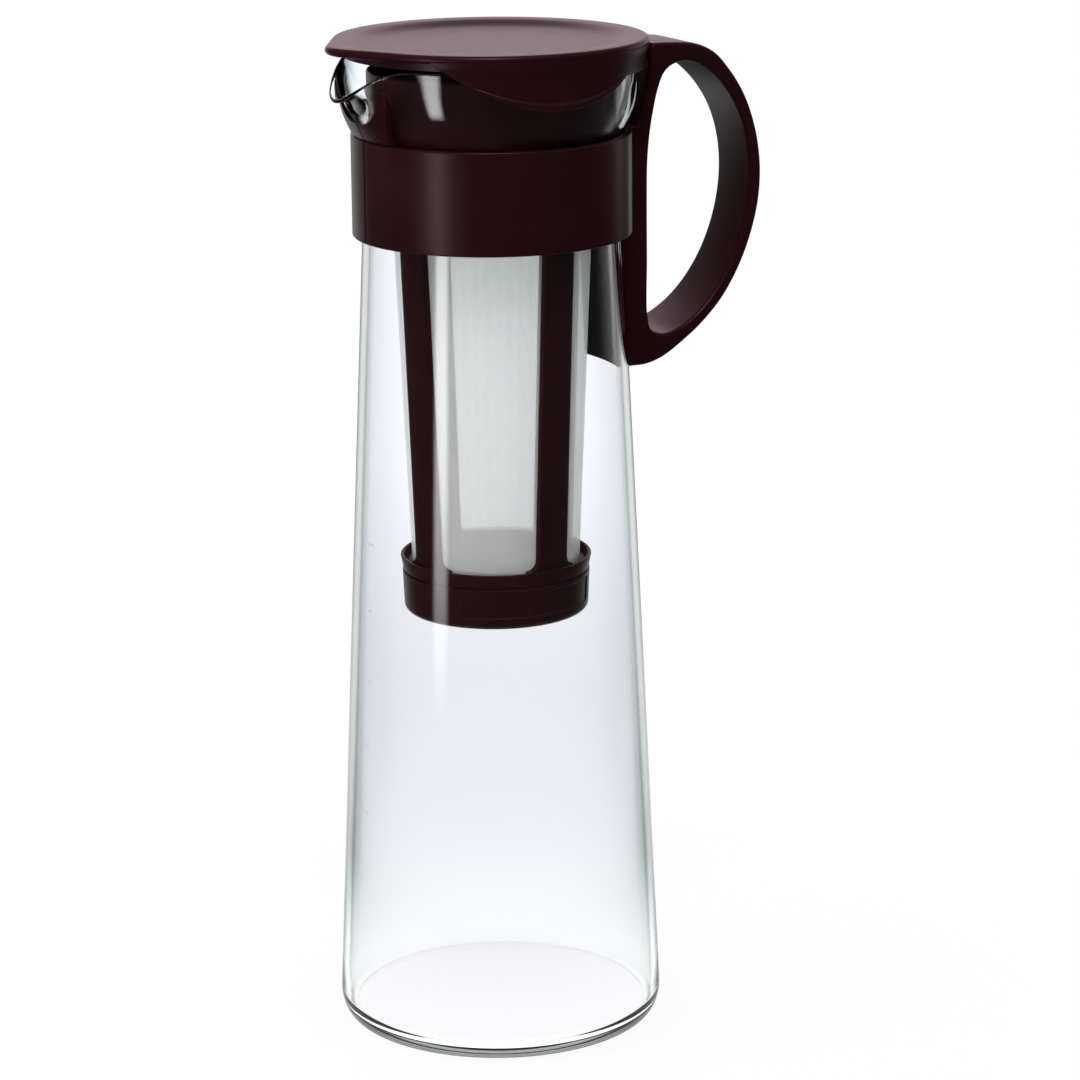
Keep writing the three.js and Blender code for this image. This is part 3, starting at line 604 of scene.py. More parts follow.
def collar_shell():
    """The flared collar with the trough behind its lip, and the spigot that the cap turns on."""
    spigot_inner = SPIGOT_RADIUS - FRAME_WALL
    rib_inner = mesh_radius(WINDOW_BOTTOM) - FRAME_WALL
    lip = mesh_radius(WINDOW_BOTTOM) - MESH_THICKNESS - FIT_GAP
    floor = WINDOW_BOTTOM - TROUGH_DEPTH
    soft = COLLAR_LIP / 3
    profile = [
        (SPIGOT_RADIUS, SPIGOT_BOTTOM), (SPIGOT_RADIUS, COLLAR_BOTTOM),
        (COLLAR_FOOT_RADIUS - soft, COLLAR_BOTTOM),
        *bend(COLLAR_FOOT_RADIUS - soft, COLLAR_BOTTOM + soft, soft, soft, -90, 0, EDGE_STEPS)[1:],
        *bend(COLLAR_RADIUS - soft, WINDOW_BOTTOM - soft, soft, soft, 0, 90, EDGE_STEPS),
        *bend(COLLAR_RADIUS - COLLAR_LIP + soft, WINDOW_BOTTOM - soft, soft, soft, 90, 180, EDGE_STEPS),
        (COLLAR_RADIUS - 2 * COLLAR_LIP, floor),
        (lip, floor), (lip, WINDOW_BOTTOM), (rib_inner, WINDOW_BOTTOM),
        (spigot_inner, COLLAR_BOTTOM), (spigot_inner, SPIGOT_BOTTOM),
    ]
    return turned(profile)


def panel_shell(index):
    """One thin panel of mesh between two ribs, with its weave coordinates. Those of the outer skin run in
    millimetres, and the inner skin has those of one hole, so that only one layer of threads shows."""
    grip = MESH_EDGE_GRIP - FIT_GAP
    low, high = WINDOW_BOTTOM - TROUGH_DEPTH - grip, WINDOW_TOP + grip
    rows, columns = 40, 48
    verts, uvs, faces = [], [], []
    for inset in (0, MESH_THICKNESS):
        for row in range(rows + 1):
            height = lerp(low, high, row / rows)
            radius = mesh_radius(height) - inset
            edge = math.asin((RIB_WIDTH / 2 - grip) / radius)
            for column in range(columns + 1):
                angle = lerp(edge, math.pi / 2 - edge, column / columns)
                turn = math.radians(STRAINER_TURN) + (index + angle / (math.pi / 2)) * math.pi / 2
                verts.append((*polar(radius, turn), height))
                place = ((angle - math.pi / 4) * mesh_radius(lerp(low, high, 0.5)), height)
                uvs.append((0, 0) if inset else place)
    across, layer = columns + 1, (columns + 1) * (rows + 1)
    for row in range(rows):
        for column in range(columns):
            a = row * across + column
            face = (a, a + 1, a + across + 1, a + across)
            faces.append(face)
            faces.append(tuple(layer + i for i in reversed(face)))
    border = list(range(columns))
    border += [row * across + columns for row in range(rows)]
    border += [rows * across + columns - column for column in range(columns)]
    border += [(rows - row) * across for row in range(rows)]
    for i, a in enumerate(border):
        b = border[(i + 1) % len(border)]
        faces.append((b, a, a + layer, b + layer))
    return (verts, faces), uvs


def cap_shell():
    """The twist-off cap, with two sunk flats to grip it by."""
    inner = SPIGOT_RADIUS + FIT_GAP
    top = COLLAR_BOTTOM - FIT_GAP
    foot = CAP_BOTTOM + CAP_CORNER
    foot_r = CAP_FOOT_RADIUS - CAP_CORNER
    low, high = foot + GRIP_MARGIN, top - GRIP_MARGIN
    soft = CAP_EDGE_ROUND

    def side(height):
        return lerp(CAP_FOOT_RADIUS, CAP_RADIUS, (height - foot) / (top - foot))

    disc = [(0, CAP_BOTTOM)] + [(foot_r * share, CAP_BOTTOM) for share in DISC_SHARES]
    corner = bend(foot_r, foot, CAP_CORNER, CAP_CORNER, -90, 0, BASE_CORNER_STEPS)
    walls = [(side(z), z) for z in (low - soft, low, lerp(low, high, 0.5), high, high + soft, top - soft)]
    walls += bend(CAP_RADIUS - soft, top - soft, soft, soft, 0, 90, EDGE_STEPS)[1:]
    well = [(inner, top)] + [(radius, CAP_BOTTOM + CAP_FLOOR) for radius in (inner, inner / 2, 0)]
    grips, grip_edge = (90, 270), 0.5
    edges = [middle + sign * span for middle in grips for sign in (-1, 1)
             for span in (GRIP_HALF_SPAN, GRIP_HALF_SPAN + grip_edge)]
    stations = sorted(set([k * 360 / AROUND for k in range(AROUND)] + edges))
    rings = []
    for radius, height in disc + corner + walls + well:
        if radius == 0:
            rings.append([(0, 0, height)])
            continue
        outside = low - TINY <= height <= high + TINY and radius > inner + soft
        ring = []
        for degrees in stations:
            away = min(abs(degrees - middle) for middle in grips)
            depth = GRIP_DEPTH if outside and away <= GRIP_HALF_SPAN else 0
            ring.append((*polar(radius - depth, math.radians(degrees)), height))
        rings.append(ring)
    return skin(rings)


# The lid
DISH_MIDDLE = 1.03
DISH_SHARES = [
    (1, 0), (0.965, 0.14), (0.92, 0.46), (0.87, 0.8), (0.81, 0.97), (0.74, 1), (0.5, 1.02),
    (0.25, DISH_MIDDLE),
]
UNDER_SHARES = [(0.25, 0), (0.5, 0), (0.76, 0), (0.82, 0.08), (0.88, 0.5), (0.94, 0.9)]
LID_UNDER = LID_TOP - LID_EDGE
LID_BODY_TOP = LID_UNDER + LID_EDGE / 2
SKIRT_INNER = lerp(WAIST_RADIUS, MOUTH_RADIUS, WIDEST_FLARE) + FIT_GAP
SKIRT_OUTER = SKIRT_INNER + SKIRT_WALL
SKIRT_FLARE_SHARES = [(0.3, 0.5), (0.75, 0.85)]


def lid_outline(inset, height):
    """The lid's outline: a round plate with a rounded nose over the pouring lip, drawn in by an inset."""
    nose_steps, side_steps = 40, 6
    plate_steps = AROUND - nose_steps
    nose_centre = LID_NOSE_REACH - LID_NOSE_RADIUS
    meet = math.acos((LID_RADIUS - LID_NOSE_RADIUS) / nose_centre)
    plate = []
    for i in range(plate_steps + 1):
        angle = lerp(meet - math.pi, math.pi - meet, i / plate_steps)
        plate.append((*polar(LID_RADIUS - inset, angle), height))
    nose = []
    for i in range(nose_steps + 1):
        x, y = polar(LID_NOSE_RADIUS - inset, lerp(math.pi - meet, math.pi + meet, i / nose_steps))
        nose.append((x - nose_centre, y, height))

    def side(start, end):
        return [tuple(Vector(start).lerp(Vector(end), i / side_steps)) for i in range(1, side_steps)]

    return plate + side(plate[-1], nose[0]) + nose + side(nose[-1], plate[0])


def shrunk(ring, share, height):
    return [(x * share, y * share, height) for x, y, _ in ring]


def plate_shell():
    """The lid's plate: hollow below, with a round edge and a dished top."""
    shoulder = lid_outline(LID_RIM_WIDTH, LID_TOP)
    recess = LID_TOP - LID_DISH_DEPTH - LID_THICKNESS
    half = LID_EDGE / 2
    edge_steps, shoulder_share = 16, 0.6
    rings = [[(0, 0, recess)]]
    rings += [shrunk(shoulder, across, lerp(recess, LID_UNDER, rise)) for across, rise in UNDER_SHARES]
    rings.append(lid_outline(LID_RIM_WIDTH, LID_UNDER))
    rings += [lid_outline(half * (1 - math.cos(a)), LID_UNDER + half + half * math.sin(a))
              for a in (math.radians(-90 + 180 * i / edge_steps) for i in range(edge_steps + 1))]
    rings.append(lid_outline(LID_RIM_WIDTH * shoulder_share, LID_TOP))
    rings += [shrunk(shoulder, across, LID_TOP - LID_DISH_DEPTH * drop) for across, drop in DISH_SHARES]
    rings.append([(0, 0, LID_TOP - LID_DISH_DEPTH * DISH_MIDDLE)])
    return skin(rings)


def seat_shell():
    """The ring under the plate that rests on the glass rim."""
    low = RIM_HEIGHT + FIT_GAP
    inner = SKIRT_INNER - LID_SEAT_WIDTH
    soft = SEAT_EDGE_ROUND
    return turned([
        *bend(inner + soft, low + soft, soft, soft, 180, 270, EDGE_STEPS), (SKIRT_INNER, low),
        (SKIRT_INNER, LID_BODY_TOP), (inner, LID_BODY_TOP),
    ])


def grip_arc(x):
    """The height of the finger grip's lower edge at a place along the lid, before it meets the back."""
    drop = LID_UNDER - GRIP_LIP_BOTTOM
    radius = (GRIP_LIP_HALF_CHORD ** 2 + drop ** 2) / (2 * drop)
    return GRIP_LIP_BOTTOM + radius - math.sqrt(max(radius ** 2 - min(abs(x), radius) ** 2, 0))


def skirt_shell():
    """The skirt under the plate: level at the back, in an arc down to a finger grip at both sides, and open
    at the lip."""
    steps, wall_steps, least_drop, flare_inset = 300, 16, 0.2, LID_EDGE / 12
    soft = SKIRT_EDGE_ROUND
    start = math.acos(-GRIP_LIP_HALF_CHORD / SKIRT_OUTER)
    flare = [(SKIRT_OUTER, GRIP_LIP_BOTTOM - 1), (SKIRT_OUTER, SKIRT_BOTTOM + SKIRT_WALL)]
    flare += [(lerp(SKIRT_OUTER, LID_RADIUS, across), lerp(SKIRT_BOTTOM, LID_UNDER, rise))
              for across, rise in SKIRT_FLARE_SHARES]
    flare.append((LID_RADIUS - flare_inset, LID_BODY_TOP))
    flare_line = [(z, r) for r, z in spline(flare, steps=FLARE_STEPS)]
    rings = []
    for k in range(steps + 1):
        angle = lerp(-start, start, k / steps)
        x = SKIRT_OUTER * math.cos(angle)
        low = min(grip_arc(x), LID_UNDER - least_drop)
        if x > 0:
            low = min(low, SKIRT_BOTTOM)
        heights = [lerp(low + soft, LID_BODY_TOP, i / wall_steps) for i in range(wall_steps + 1)]
        outside = [(interpolate(flare_line, height), height) for height in heights]
        foot = bend(outside[0][0] - soft, low + soft, soft, soft, -90, 0, EDGE_STEPS)[:-1]
        heel = bend(SKIRT_INNER + soft, low + soft, soft, soft, 180, 270, EDGE_STEPS)
        profile = outside + [(SKIRT_INNER, LID_BODY_TOP)] + heel + foot
        rings.append([(*polar(r, angle), z) for r, z in profile])
    return skin(rings)


def bead_shell(side):
    """The thick round lower edge of one finger grip, which thins out to both ends."""
    steps, sides, least = 90, 20, 0.02
    rings = []
    for i in range(steps + 1):
        turn = math.radians(lerp(-GRIP_LIP_SPAN, GRIP_LIP_SPAN, i / steps))
        swell = GRIP_LIP_ROUND * math.sqrt(max(math.sin(math.pi * i / steps), 0)) + least
        height = grip_arc(SKIRT_OUTER * math.sin(turn)) + swell
        ring = []
        for k in range(sides):
            out, up = polar(swell, 2 * math.pi * k / sides)
            radius = max(SKIRT_OUTER - GRIP_LIP_ROUND / 3 + out, SKIRT_INNER)
            ring.append((radius * math.sin(turn), side * radius * math.cos(turn), height + up))
        rings.append(ring)
    return skin(rings)


# Printed level marks on the glass: start and end in degrees, height of a line, and the lines' places
LEVEL_MARKS = (
    (180.5, 185.5, 0.5, (151.4, 110.0, 69.6)),
    (182.6, 183.6, 0.7, (131.4, 90.3)),
)
MARK_PROUD = 0.06
MARK_GAP = 0.01


def mark_shell(height, from_degrees, to_degrees, tall):
    """A thin raised line of print that follows the cone."""
    steps = 10
    low, high = height - tall / 2, height + tall / 2
    rings = []
    for i in range(steps + 1):
        angle = math.radians(lerp(from_degrees, to_degrees, i / steps))
        section = ((MARK_GAP, low), (MARK_PROUD, low), (MARK_PROUD, high), (MARK_GAP, high))
        rings.append([(*polar(cone_radius(z) + lift, angle), z) for lift, z in section])
    return skin(rings)


# Materials. Colours are linear red, green, blue and alpha.
WHITE = (1, 1, 1, 1)
PLASTIC_TONES = ((0.3, (0.0095, 0.0015, 0.0021, 1)), (0.7, (0.0125, 0.0021, 0.003, 1)))
PLASTIC_SHINE = (1, 0.74, 0.82, 1)
GLASS_TINTS = (
    (0.66, WHITE),
    (0.71, (0.86, 0.94, 0.93, 1)),
    (0.79, (0.76, 0.88, 0.86, 1)),
    (0.87, (0.14, 0.19, 0.18, 1)),
)
GLASS_DEPTH_COLOUR = (0.25, 0.5, 0.42, 1)
GLASS_SHADOW_COLOUR = (0.96, 0.97, 0.97, 1)
CLOTH_COLOUR = (0.8, 0.86, 0.83, 1)
CLOTH_THROUGH_SHARE = 0.45
THREAD_PITCH = 0.3
THREAD_EDGE = (0.75, 0.85)
THREAD_COVER = (0.2, 0.66)
PRINT_TONES = ((0, (0.3, 0.32, 0.33, 1)), (1, (0.4, 0.42, 0.43, 1)))
FLOOR_GREY = (0.6, 0.6, 0.6, 1)
# Painted light on the floor where it is seen through the glass: cool and brighter close to the pot, cool
# further off, brighter again far behind it
FLOOR_CLOSE_PAINTED_LIGHT = (1.08, 1.11, 1.14, 1)
FLOOR_MIDDLE_PAINTED_LIGHT = (0.96, 0.98, 1.05, 1)
FLOOR_FAR_PAINTED_LIGHT = (1.17, 1.19, 1.27, 1)


def nodes_of(name):
    """A new material, with its tree and its shader."""
    material = bpy.data.materials.new(name)
    material.use_nodes = True
    tree = material.node_tree
    return material, tree, tree.nodes["Principled BSDF"]


def feed(tree, socket, value):
    """Links another node's output to a socket, or sets the socket to a plain value."""
    if isinstance(value, bpy.types.NodeSocket):
        tree.links.new(value, socket)
    else:
        socket.default_value = value


def put(tree, node, **values):
    """Feeds a node's inputs by name, with _ for a space. Any other name is one of its settings."""
    for key, value in values.items():
        socket = node.inputs.get(key.replace("_", " "))
        if socket is None:
            setattr(node, key, value)
        else:
            feed(tree, socket, value)
    return node


def add(tree, kind, **values):
    return put(tree, tree.nodes.new(kind), **values)


def show(tree, surface):
    """Makes a shader the material's surface."""
    tree.links.new(surface, tree.nodes["Material Output"].inputs["Surface"])


def noise_over(tree, scale, detail):
    coords = add(tree, "ShaderNodeTexCoord")
    noise = add(tree, "ShaderNodeTexNoise", Scale=scale, Detail=detail, Vector=coords.outputs["Object"])
    return noise.outputs["Fac"]


def spread(tree, share, low, high):
    """A share of 0 to 1 as a value between two limits."""
    return add(tree, "ShaderNodeMapRange", Value=share, To_Min=low, To_Max=high).outputs["Result"]


def ramped(tree, value, low, high, start=0, end=1):
    """A value that eases from start to end between two limits."""
    node = add(tree, "ShaderNodeMapRange", interpolation_type="SMOOTHSTEP", Value=value,
               From_Min=low, From_Max=high, To_Min=start, To_Max=end)
    return node.outputs["Result"]


def colour_ramp(tree, value, *stops):
    """A colour by a value. Each stop is a position and a colour."""
    node = add(tree, "ShaderNodeValToRGB", Fac=value)
    elements = node.color_ramp.elements
    for element, (position, colour) in zip(elements, (stops[0], stops[-1])):
        element.position = position
        element.color = colour
    for position, colour in stops[1:-1]:
        elements.new(position).color = colour
    return node.outputs["Color"]


def bumped(tree, height, strength, distance):
    return add(tree, "ShaderNodeBump", Height=height, Strength=strength, Distance=distance).outputs["Normal"]


def fed_in_order(tree, node, values):
    """Feeds a node's inputs from the first one on. Returns its first output."""
    for place, value in enumerate(values):
        feed(tree, node.inputs[place], value)
    return node.outputs[0]


def maths(tree, operation, *values):
    return fed_in_order(tree, add(tree, "ShaderNodeMath", operation=operation), values)


def vector_maths(tree, operation, *values):
    node = add(tree, "ShaderNodeVectorMath", operation=operation)
    fed_in_order(tree, node, values)
    return node.outputs["Vector" if operation == "NORMALIZE" else "Value"]


def product(tree, one, other):
    return maths(tree, "MULTIPLY", one, other)


def remainder(tree, share):
    """What a share leaves of 1."""
    return maths(tree, "SUBTRACT", 1, share)


def mixed(tree, factor, one, other, data_type="RGBA"):
    """A colour or value between two others."""
    node = add(tree, "ShaderNodeMix", data_type=data_type)
    for name, value in (("Factor", factor), ("A", one), ("B", other)):
        feed(tree, node.inputs[name], value)
    return node.outputs["Result"]


def shader_between(tree, factor, one, other):
    return fed_in_order(tree, add(tree, "ShaderNodeMixShader"), (factor, one, other))


def plastic_material():
    """Satin brown moulding, with faint mottling in the colour and a fine grain in the gloss."""
    material, tree, shader = nodes_of("brown_plastic")
    mottling = noise_over(tree, scale=45, detail=3)
    gloss = noise_over(tree, scale=260, detail=4)
    grain = noise_over(tree, scale=320, detail=2)
    put(tree, shader, IOR=1.22, Specular_Tint=PLASTIC_SHINE,
        Base_Color=colour_ramp(tree, mottling, *PLASTIC_TONES),
        Roughness=spread(tree, gloss, low=0.29, high=0.35),
        Normal=bumped(tree, grain, strength=0.03, distance=0.0001))
    return material


def glass_material():
    """Clear glass with a grey-green tint, which gathers where the glass turns away from view."""
    material, tree, shader = nodes_of("clear_glass")
    facing = add(tree, "ShaderNodeLayerWeight", Blend=0.5).outputs["Facing"]
    waviness = noise_over(tree, scale=14, detail=1)
    put(tree, shader, IOR=1.47, Transmission_Weight=1, Roughness=0,
        Base_Color=colour_ramp(tree, facing, *GLASS_TINTS),
        Normal=bumped(tree, waviness, strength=0.05, distance=0.002))
    clear = add(tree, "ShaderNodeBsdfTransparent", Color=GLASS_SHADOW_COLOUR)
    in_shadow = add(tree, "ShaderNodeLightPath").outputs["Is Shadow Ray"]
    show(tree, shader_between(tree, in_shadow, shader.outputs["BSDF"], clear.outputs["BSDF"]))
    absorb = add(tree, "ShaderNodeVolumeAbsorption", Color=GLASS_DEPTH_COLOUR, Density=12)
    tree.links.new(absorb.outputs["Volume"], tree.nodes["Material Output"].inputs["Volume"])
    return material


def mesh_material():
    """White cloth: threads cross over and under, with see-through holes between them."""
    material, tree, shader = nodes_of("white_mesh")
    coords = add(tree, "ShaderNodeUVMap", uv_map="weave")
    split = add(tree, "ShaderNodeSeparateXYZ", Vector=coords.outputs["UV"])
    waves = []
    for axis in ("X", "Y"):
        wave = maths(tree, "SINE", product(tree, split.outputs[axis], math.pi / THREAD_PITCH))
        waves.append(maths(tree, "ABSOLUTE", wave))
    thread = maths(tree, "MAXIMUM", *waves)
    put(tree, shader, Base_Color=CLOTH_COLOUR, Roughness=0.75,
        Normal=bumped(tree, thread, strength=0.3, distance=0.00005))
    through = add(tree, "ShaderNodeBsdfTranslucent", Color=CLOTH_COLOUR)
    cloth = shader_between(tree, CLOTH_THROUGH_SHARE, shader.outputs["BSDF"], through.outputs["BSDF"])
    hole = add(tree, "ShaderNodeBsdfTransparent").outputs["BSDF"]
    show(tree, shader_between(tree, ramped(tree, thread, *THREAD_EDGE, *THREAD_COVER), hole, cloth))
    return material


def print_material():
    """Matt grey print with fine specks."""
    material, tree, shader = nodes_of("grey_print")
    specks = noise_over(tree, scale=700, detail=3)
    put(tree, shader, Base_Color=colour_ramp(tree, specks, *PRINT_TONES), Roughness=0.6)
    return material


# The photograph's camera, placed in millimetres before its turn about the pot
CAMERA_TURN = math.radians(27.5)
CAMERA_PITCH = 0.262
CAMERA_ROLL = -0.0081
CAMERA_PLACE = (13.16, -1073.0, 434.4)
CAMERA_LENS = 124.2
SENSOR = 36

# The studio. Levels are strengths. Fades run between two shares straight ahead, or between two distances in
# metres on the floor, and rises between two heights of a direction.
BACKDROP_LEVEL = 0.87
BACKDROP_FADE = (0.45, 0.95)
STRAIGHT_FADE = (0.93, 1)
STRAIGHT_DIMMING = 0.9
SKY_LEVEL = 0.7
SKY_RISE = (0.3, 1)
SKY_TINT_RISE = (0.05, 0.2)
WALL_LEVEL = 0.9
FRONT_LEVEL = 0.03
PLAIN_LEVEL = 1
NEAR_FLOOR_LEVEL = 0.6
NEAR_FLOOR_FADE = (0.07, 0.2)
SHADOW_FADE = (0.05, 0.22)
SHADOW_SHARE = 0.2
FAR_FLOOR_FADE = (0.3, 0.8)
FLOOR_REACH = 6
FLOOR_GAP = 0.0002

# Each lamp: name, azimuth and elevation in degrees, distance, width and height in metres, power in watts,
# whether it shows in reflections, and colour
LAMP_TINT = (1, 0.76, 0.84)
LAMP_WHITE = (1, 1, 1)
LAMPS = (
    ("lamp_streak", 200, 2, 0.5, 0.14, 0.4, 1, True, LAMP_WHITE),
    ("lamp_glow", 145, 10, 1.0, 0.5, 0.8, 0.4, True, LAMP_TINT),
    ("lamp_left", 165, 14, 1.1, 0.6, 0.9, 5, False, LAMP_TINT),
    ("lamp_right", 7, 10, 1.1, 0.16, 0.9, 0.5, True, LAMP_TINT),
    ("lamp_top", 70, 24, 1.4, 1.4, 0.6, 1, True, LAMP_TINT),
    ("lamp_over", 243, 58, 1.0, 0.4, 0.4, 7, True, LAMP_TINT),
    ("lamp_back", 62.5, 30, 1.3, 0.9, 0.7, 10, False, LAMP_WHITE),
)
LAMP_AIM = (0, 0, 0.16)
LAMP_GAIN = 2
LAMP_SOFT_EDGE = 0.35


def seen_through_glass(tree, path):
    """1 for a ray that came straight through glass, without a bounce on anything else."""
    bounces = maths(tree, "ADD", path.outputs["Diffuse Depth"], path.outputs["Glossy Depth"])
    return product(tree, path.outputs["Is Transmission Ray"], maths(tree, "LESS_THAN", bounces, 0.5))


def scattered(tree, path):
    """1 for a ray after a diffuse bounce."""
    return maths(tree, "GREATER_THAN", path.outputs["Diffuse Depth"], 0.5)


def mirrored(tree, path):
    """1 for a ray that a surface mirrored, without a diffuse bounce."""
    glossy = maths(tree, "GREATER_THAN", path.outputs["Glossy Depth"], 0.5)
    return product(tree, glossy, maths(tree, "LESS_THAN", path.outputs["Diffuse Depth"], 0.5))


def inside_wall(tree, path):
    """1 for a mirrored ray that crossed one or two faces of glass, so that it was mirrored inside a wall."""
    entered = maths(tree, "GREATER_THAN", path.outputs["Transmission Depth"], 0.5)
    left_once = maths(tree, "LESS_THAN", path.outputs["Transmission Depth"], 2.5)
    return product(tree, mirrored(tree, path), product(tree, entered, left_once))


def share_ahead(tree, direction):
    """How far a direction points to the backdrop behind the pot: 1 straight on and 0 to the sides."""
    forward = (math.sin(CAMERA_TURN), math.cos(CAMERA_TURN), 0)
    return vector_maths(tree, "DOT_PRODUCT", direction, forward)


def backdrop_level(tree, ahead):
    """The light of the backdrop, which fades out to the sides."""
    return product(tree, ramped(tree, ahead, *BACKDROP_FADE), BACKDROP_LEVEL)


def floor_colour_and_painted_light(tree, path, distance, away):
    """The floor for the eye: white, and through the glass painted light: cool and brighter close to the pot,
    cool further off, and brighter again far behind the pot.
    """
    behind = mixed(tree, ramped(tree, distance, *FAR_FLOOR_FADE), FLOOR_MIDDLE_PAINTED_LIGHT, FLOOR_FAR_PAINTED_LIGHT)
    tint = mixed(tree, away, FLOOR_CLOSE_PAINTED_LIGHT, behind)
    return mixed(tree, seen_through_glass(tree, path), WHITE, tint)


def floor_image(tree, path, place, distance):
    """How bright reflections see the floor: as the backdrop far off, and at its own level near the pot."""
    ahead = share_ahead(tree, vector_maths(tree, "NORMALIZE", place))
    dimming = product(tree, ramped(tree, ahead, *STRAIGHT_FADE), STRAIGHT_DIMMING)
    studio = product(tree, backdrop_level(tree, ahead), remainder(tree, dimming))
    studio = maths(tree, "ADD", studio, FRONT_LEVEL)
    distant = ramped(tree, distance, *NEAR_FLOOR_FADE)
    near = remainder(tree, distant)
    level = maths(tree, "ADD", product(tree, studio, distant), product(tree, near, NEAR_FLOOR_LEVEL))
    from_wall = product(tree, product(tree, inside_wall(tree, path), near), WALL_LEVEL)
    return maths(tree, "ADD", level, from_wall)


def floor_material():
    """A floor that the eye sees white, with the pot's shadow close to it. Reflections see it as part of the
    studio, and it scatters light as pale grey."""
    material, tree, shader = nodes_of("floor_white")
    path = add(tree, "ShaderNodeLightPath")
    place = add(tree, "ShaderNodeTexCoord").outputs["Object"]
    distance = vector_maths(tree, "LENGTH", place)
    put(tree, shader, Base_Color=FLOOR_GREY, Roughness=0.9, Specular_IOR_Level=0)
    away = ramped(tree, distance, *SHADOW_FADE)
    # Through the glass the floor shows painted light, brighter and cooler than plain white
    white = add(tree, "ShaderNodeEmission", Color=floor_colour_and_painted_light(tree, path, distance, away), Strength=1)
    keep = spread(tree, away, 1 - SHADOW_SHARE, 1)
    seen = product(tree, path.outputs["Is Camera Ray"], keep)
    share = maths(tree, "MAXIMUM", seen, seen_through_glass(tree, path))
    plain = shader_between(tree, share, shader.outputs["BSDF"], white.outputs["Emission"])
    image = add(tree, "ShaderNodeEmission", Strength=floor_image(tree, path, place, distance))
    show(tree, shader_between(tree, mirrored(tree, path), plain, image.outputs["Emission"]))
    return material


def set_floor():
    data = bpy.data.meshes.new("floor")
    corners = [(x * FLOOR_REACH, y * FLOOR_REACH, 0) for x, y in ((-1, -1), (1, -1), (1, 1), (-1, 1))]
    data.from_pydata(corners, [], [(0, 1, 2, 3)])
    data.materials.append(floor_material())
    floor = placed("floor", data)
    floor.location.z = -FLOOR_GAP


def set_camera():
    data = bpy.data.cameras.new("camera")
    data.lens = CAMERA_LENS
    data.sensor_width = SENSOR
    camera = placed("camera", data)
    turn = Matrix.Rotation(-CAMERA_TURN, 4, "Z")
    place = Matrix.Translation(turn @ (Vector(CAMERA_PLACE) * MM))
    tilt = Matrix.Rotation(math.pi / 2 - CAMERA_PITCH, 4, "X")
    roll = Matrix.Rotation(CAMERA_ROLL, 4, "Z")
    camera.matrix_world = place @ turn @ tilt @ roll
    bpy.context.scene.camera = camera


def set_world():
    """White for the eye. Reflections see a bright backdrop, a tinted sky and a dark front, and scattered rays
    meet one plain level."""
    world = bpy.data.worlds.new("studio")
    bpy.context.scene.world = world
    world.use_nodes = True
    tree = world.node_tree
    path = add(tree, "ShaderNodeLightPath")
    seen = maths(tree, "MAXIMUM", path.outputs["Is Camera Ray"], seen_through_glass(tree, path))
    loose = scattered(tree, path)
    direction = add(tree, "ShaderNodeTexCoord").outputs["Generated"]
    height = add(tree, "ShaderNodeSeparateXYZ", Vector=direction).outputs["Z"]
    backdrop = backdrop_level(tree, share_ahead(tree, direction))
    sky = product(tree, ramped(tree, height, *SKY_RISE), SKY_LEVEL)
    image = maths(tree, "ADD", maths(tree, "MAXIMUM", backdrop, sky), FRONT_LEVEL)
    image = product(tree, remainder(tree, loose), image)
    level = maths(tree, "ADD", product(tree, loose, PLAIN_LEVEL), image)
    in_image = remainder(tree, maths(tree, "MAXIMUM", seen, loose))
    tinted = product(tree, in_image, ramped(tree, height, *SKY_TINT_RISE))
    put(tree, tree.nodes["Background"], Strength=mixed(tree, seen, level, 1, "FLOAT"),
        Color=mixed(tree, tinted, WHITE, (*LAMP_TINT, 1)))
    world.cycles.sampling_method = "NONE"


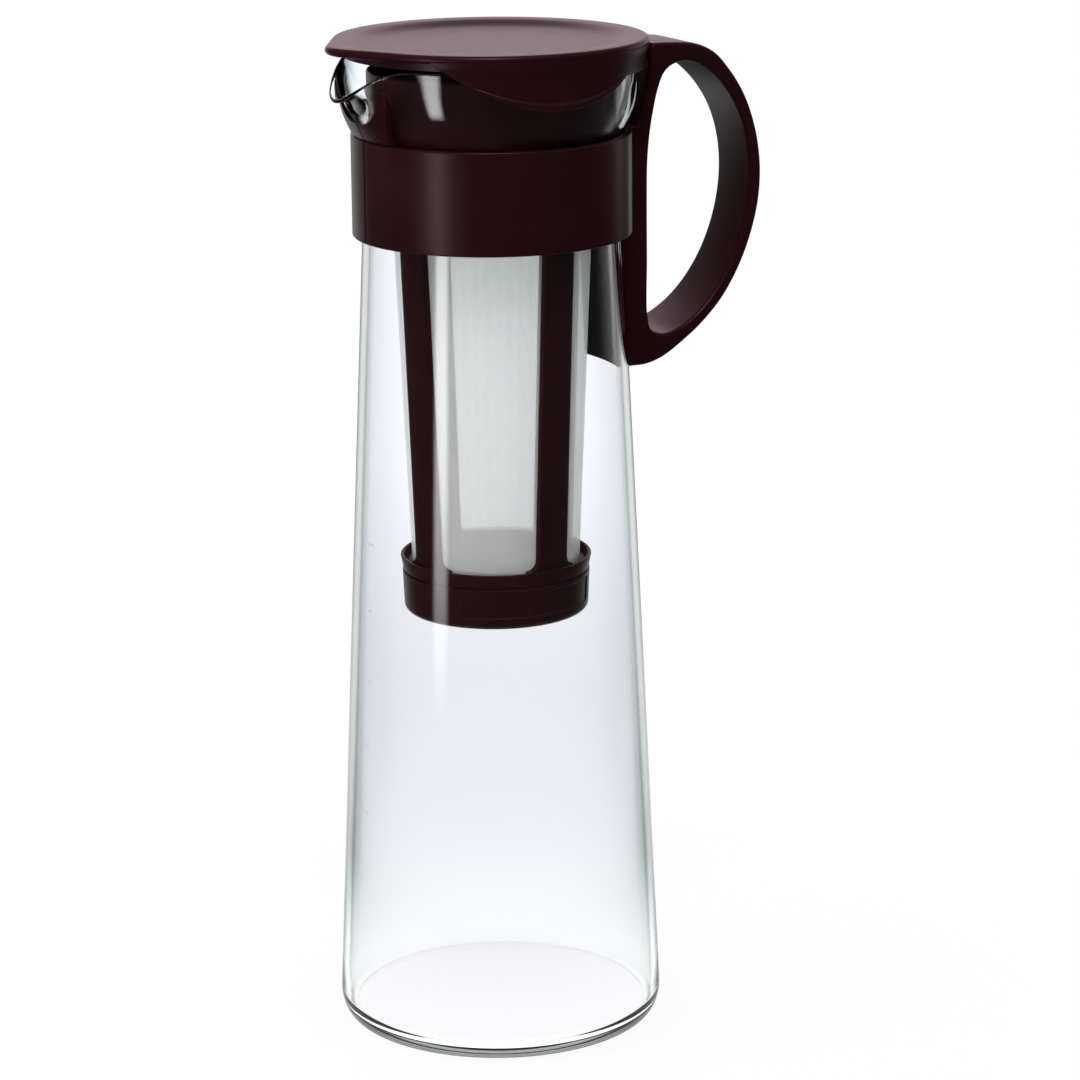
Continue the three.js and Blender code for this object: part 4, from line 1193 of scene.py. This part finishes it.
def softbox(name, azimuth, elevation, distance, width, height, power, shines, colour):
    """A lamp at an azimuth in the row frame, aimed at the pot, which fades out towards its edges."""
    data = bpy.data.lights.new(name, "AREA")
    data.shape = "RECTANGLE"
    data.size = width
    data.size_y = height
    data.energy = power
    data.color = colour
    data.use_nodes = True
    tree = data.node_tree
    spot = add(tree, "ShaderNodeNewGeometry").outputs["Parametric"]
    split = add(tree, "ShaderNodeSeparateXYZ", Vector=spot)
    fade = LAMP_GAIN
    for axis in ("X", "Y"):
        inwards = maths(tree, "MINIMUM", split.outputs[axis], remainder(tree, split.outputs[axis]))
        fade = product(tree, fade, ramped(tree, inwards, 0, LAMP_SOFT_EDGE))
    tree.links.new(fade, tree.nodes["Emission"].inputs["Strength"])
    lamp = placed(name, data)
    rise = math.radians(elevation)
    away = Vector((*polar(math.cos(rise), math.radians(azimuth)), math.sin(rise)))
    lamp.location = Vector(LAMP_AIM) + away * distance
    lamp.rotation_euler = away.to_track_quat("Z", "Y").to_euler()
    lamp.visible_camera = False
    lamp.visible_transmission = False
    lamp.visible_glossy = shines


set_camera()
set_world()
for lamp in LAMPS:
    softbox(*lamp)
set_floor()

plastic = plastic_material()
glass = glass_material()
cloth = mesh_material()
ink = print_material()

carafe = make("carafe_glass", glass_shell(), glass)
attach(carafe, "pot")
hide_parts("glass_carafe")

band = make("neck_band", band_shell(), plastic)
fins = make("lip_fins", merged(fin_shell(1), fin_shell(-1)), plastic)
handle = make("loop_handle", handle_shell(), plastic)
for piece in (band, fins, handle):
    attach(piece, "pot")
    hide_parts("neck_band_and_handle")
soften = fins.modifiers.new("soft_edges", "BEVEL")
soften.width = FIN_EDGE_BEVEL * MM
soften.segments = 3
soften.limit_method = "ANGLE"
soften.angle_limit = math.radians(FIN_BEVEL_ANGLE)

cup = make("strainer_cup", cup_shell(), plastic)
rib_turns = [math.radians(STRAINER_TURN + 360 / RIB_COUNT * k) for k in range(RIB_COUNT)]
ribs = make("strainer_ribs", merged(*(rib_shell(turn) for turn in rib_turns)), plastic)
collar = make("strainer_collar", collar_shell(), plastic)
for piece in (cup, ribs, collar):
    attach(piece, "strainer")
    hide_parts("strainer_frame")
for index in range(RIB_COUNT):
    shell, uvs = panel_shell(index)
    panel = make(f"mesh_{index + 1}", shell, cloth, uvs=uvs)
    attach(panel, "strainer")
    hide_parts(f"mesh_panel_{index + 1}")

cap = make("twist_cap", cap_shell(), plastic)
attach(cap, "cap")
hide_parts("strainer_cap")

lid_parts = (plate_shell(), seat_shell(), skirt_shell(), bead_shell(1), bead_shell(-1))
top = make("dished_lid", merged(*lid_parts), plastic)
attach(top, "lid")
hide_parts("lid")

mark_shells = [mark_shell(height, *mark) for *mark, heights in LEVEL_MARKS for height in heights]
marks = make("level_marks", merged(*mark_shells), ink)
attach(marks, "pot")

bpy.context.scene.view_settings.view_transform = "Standard"
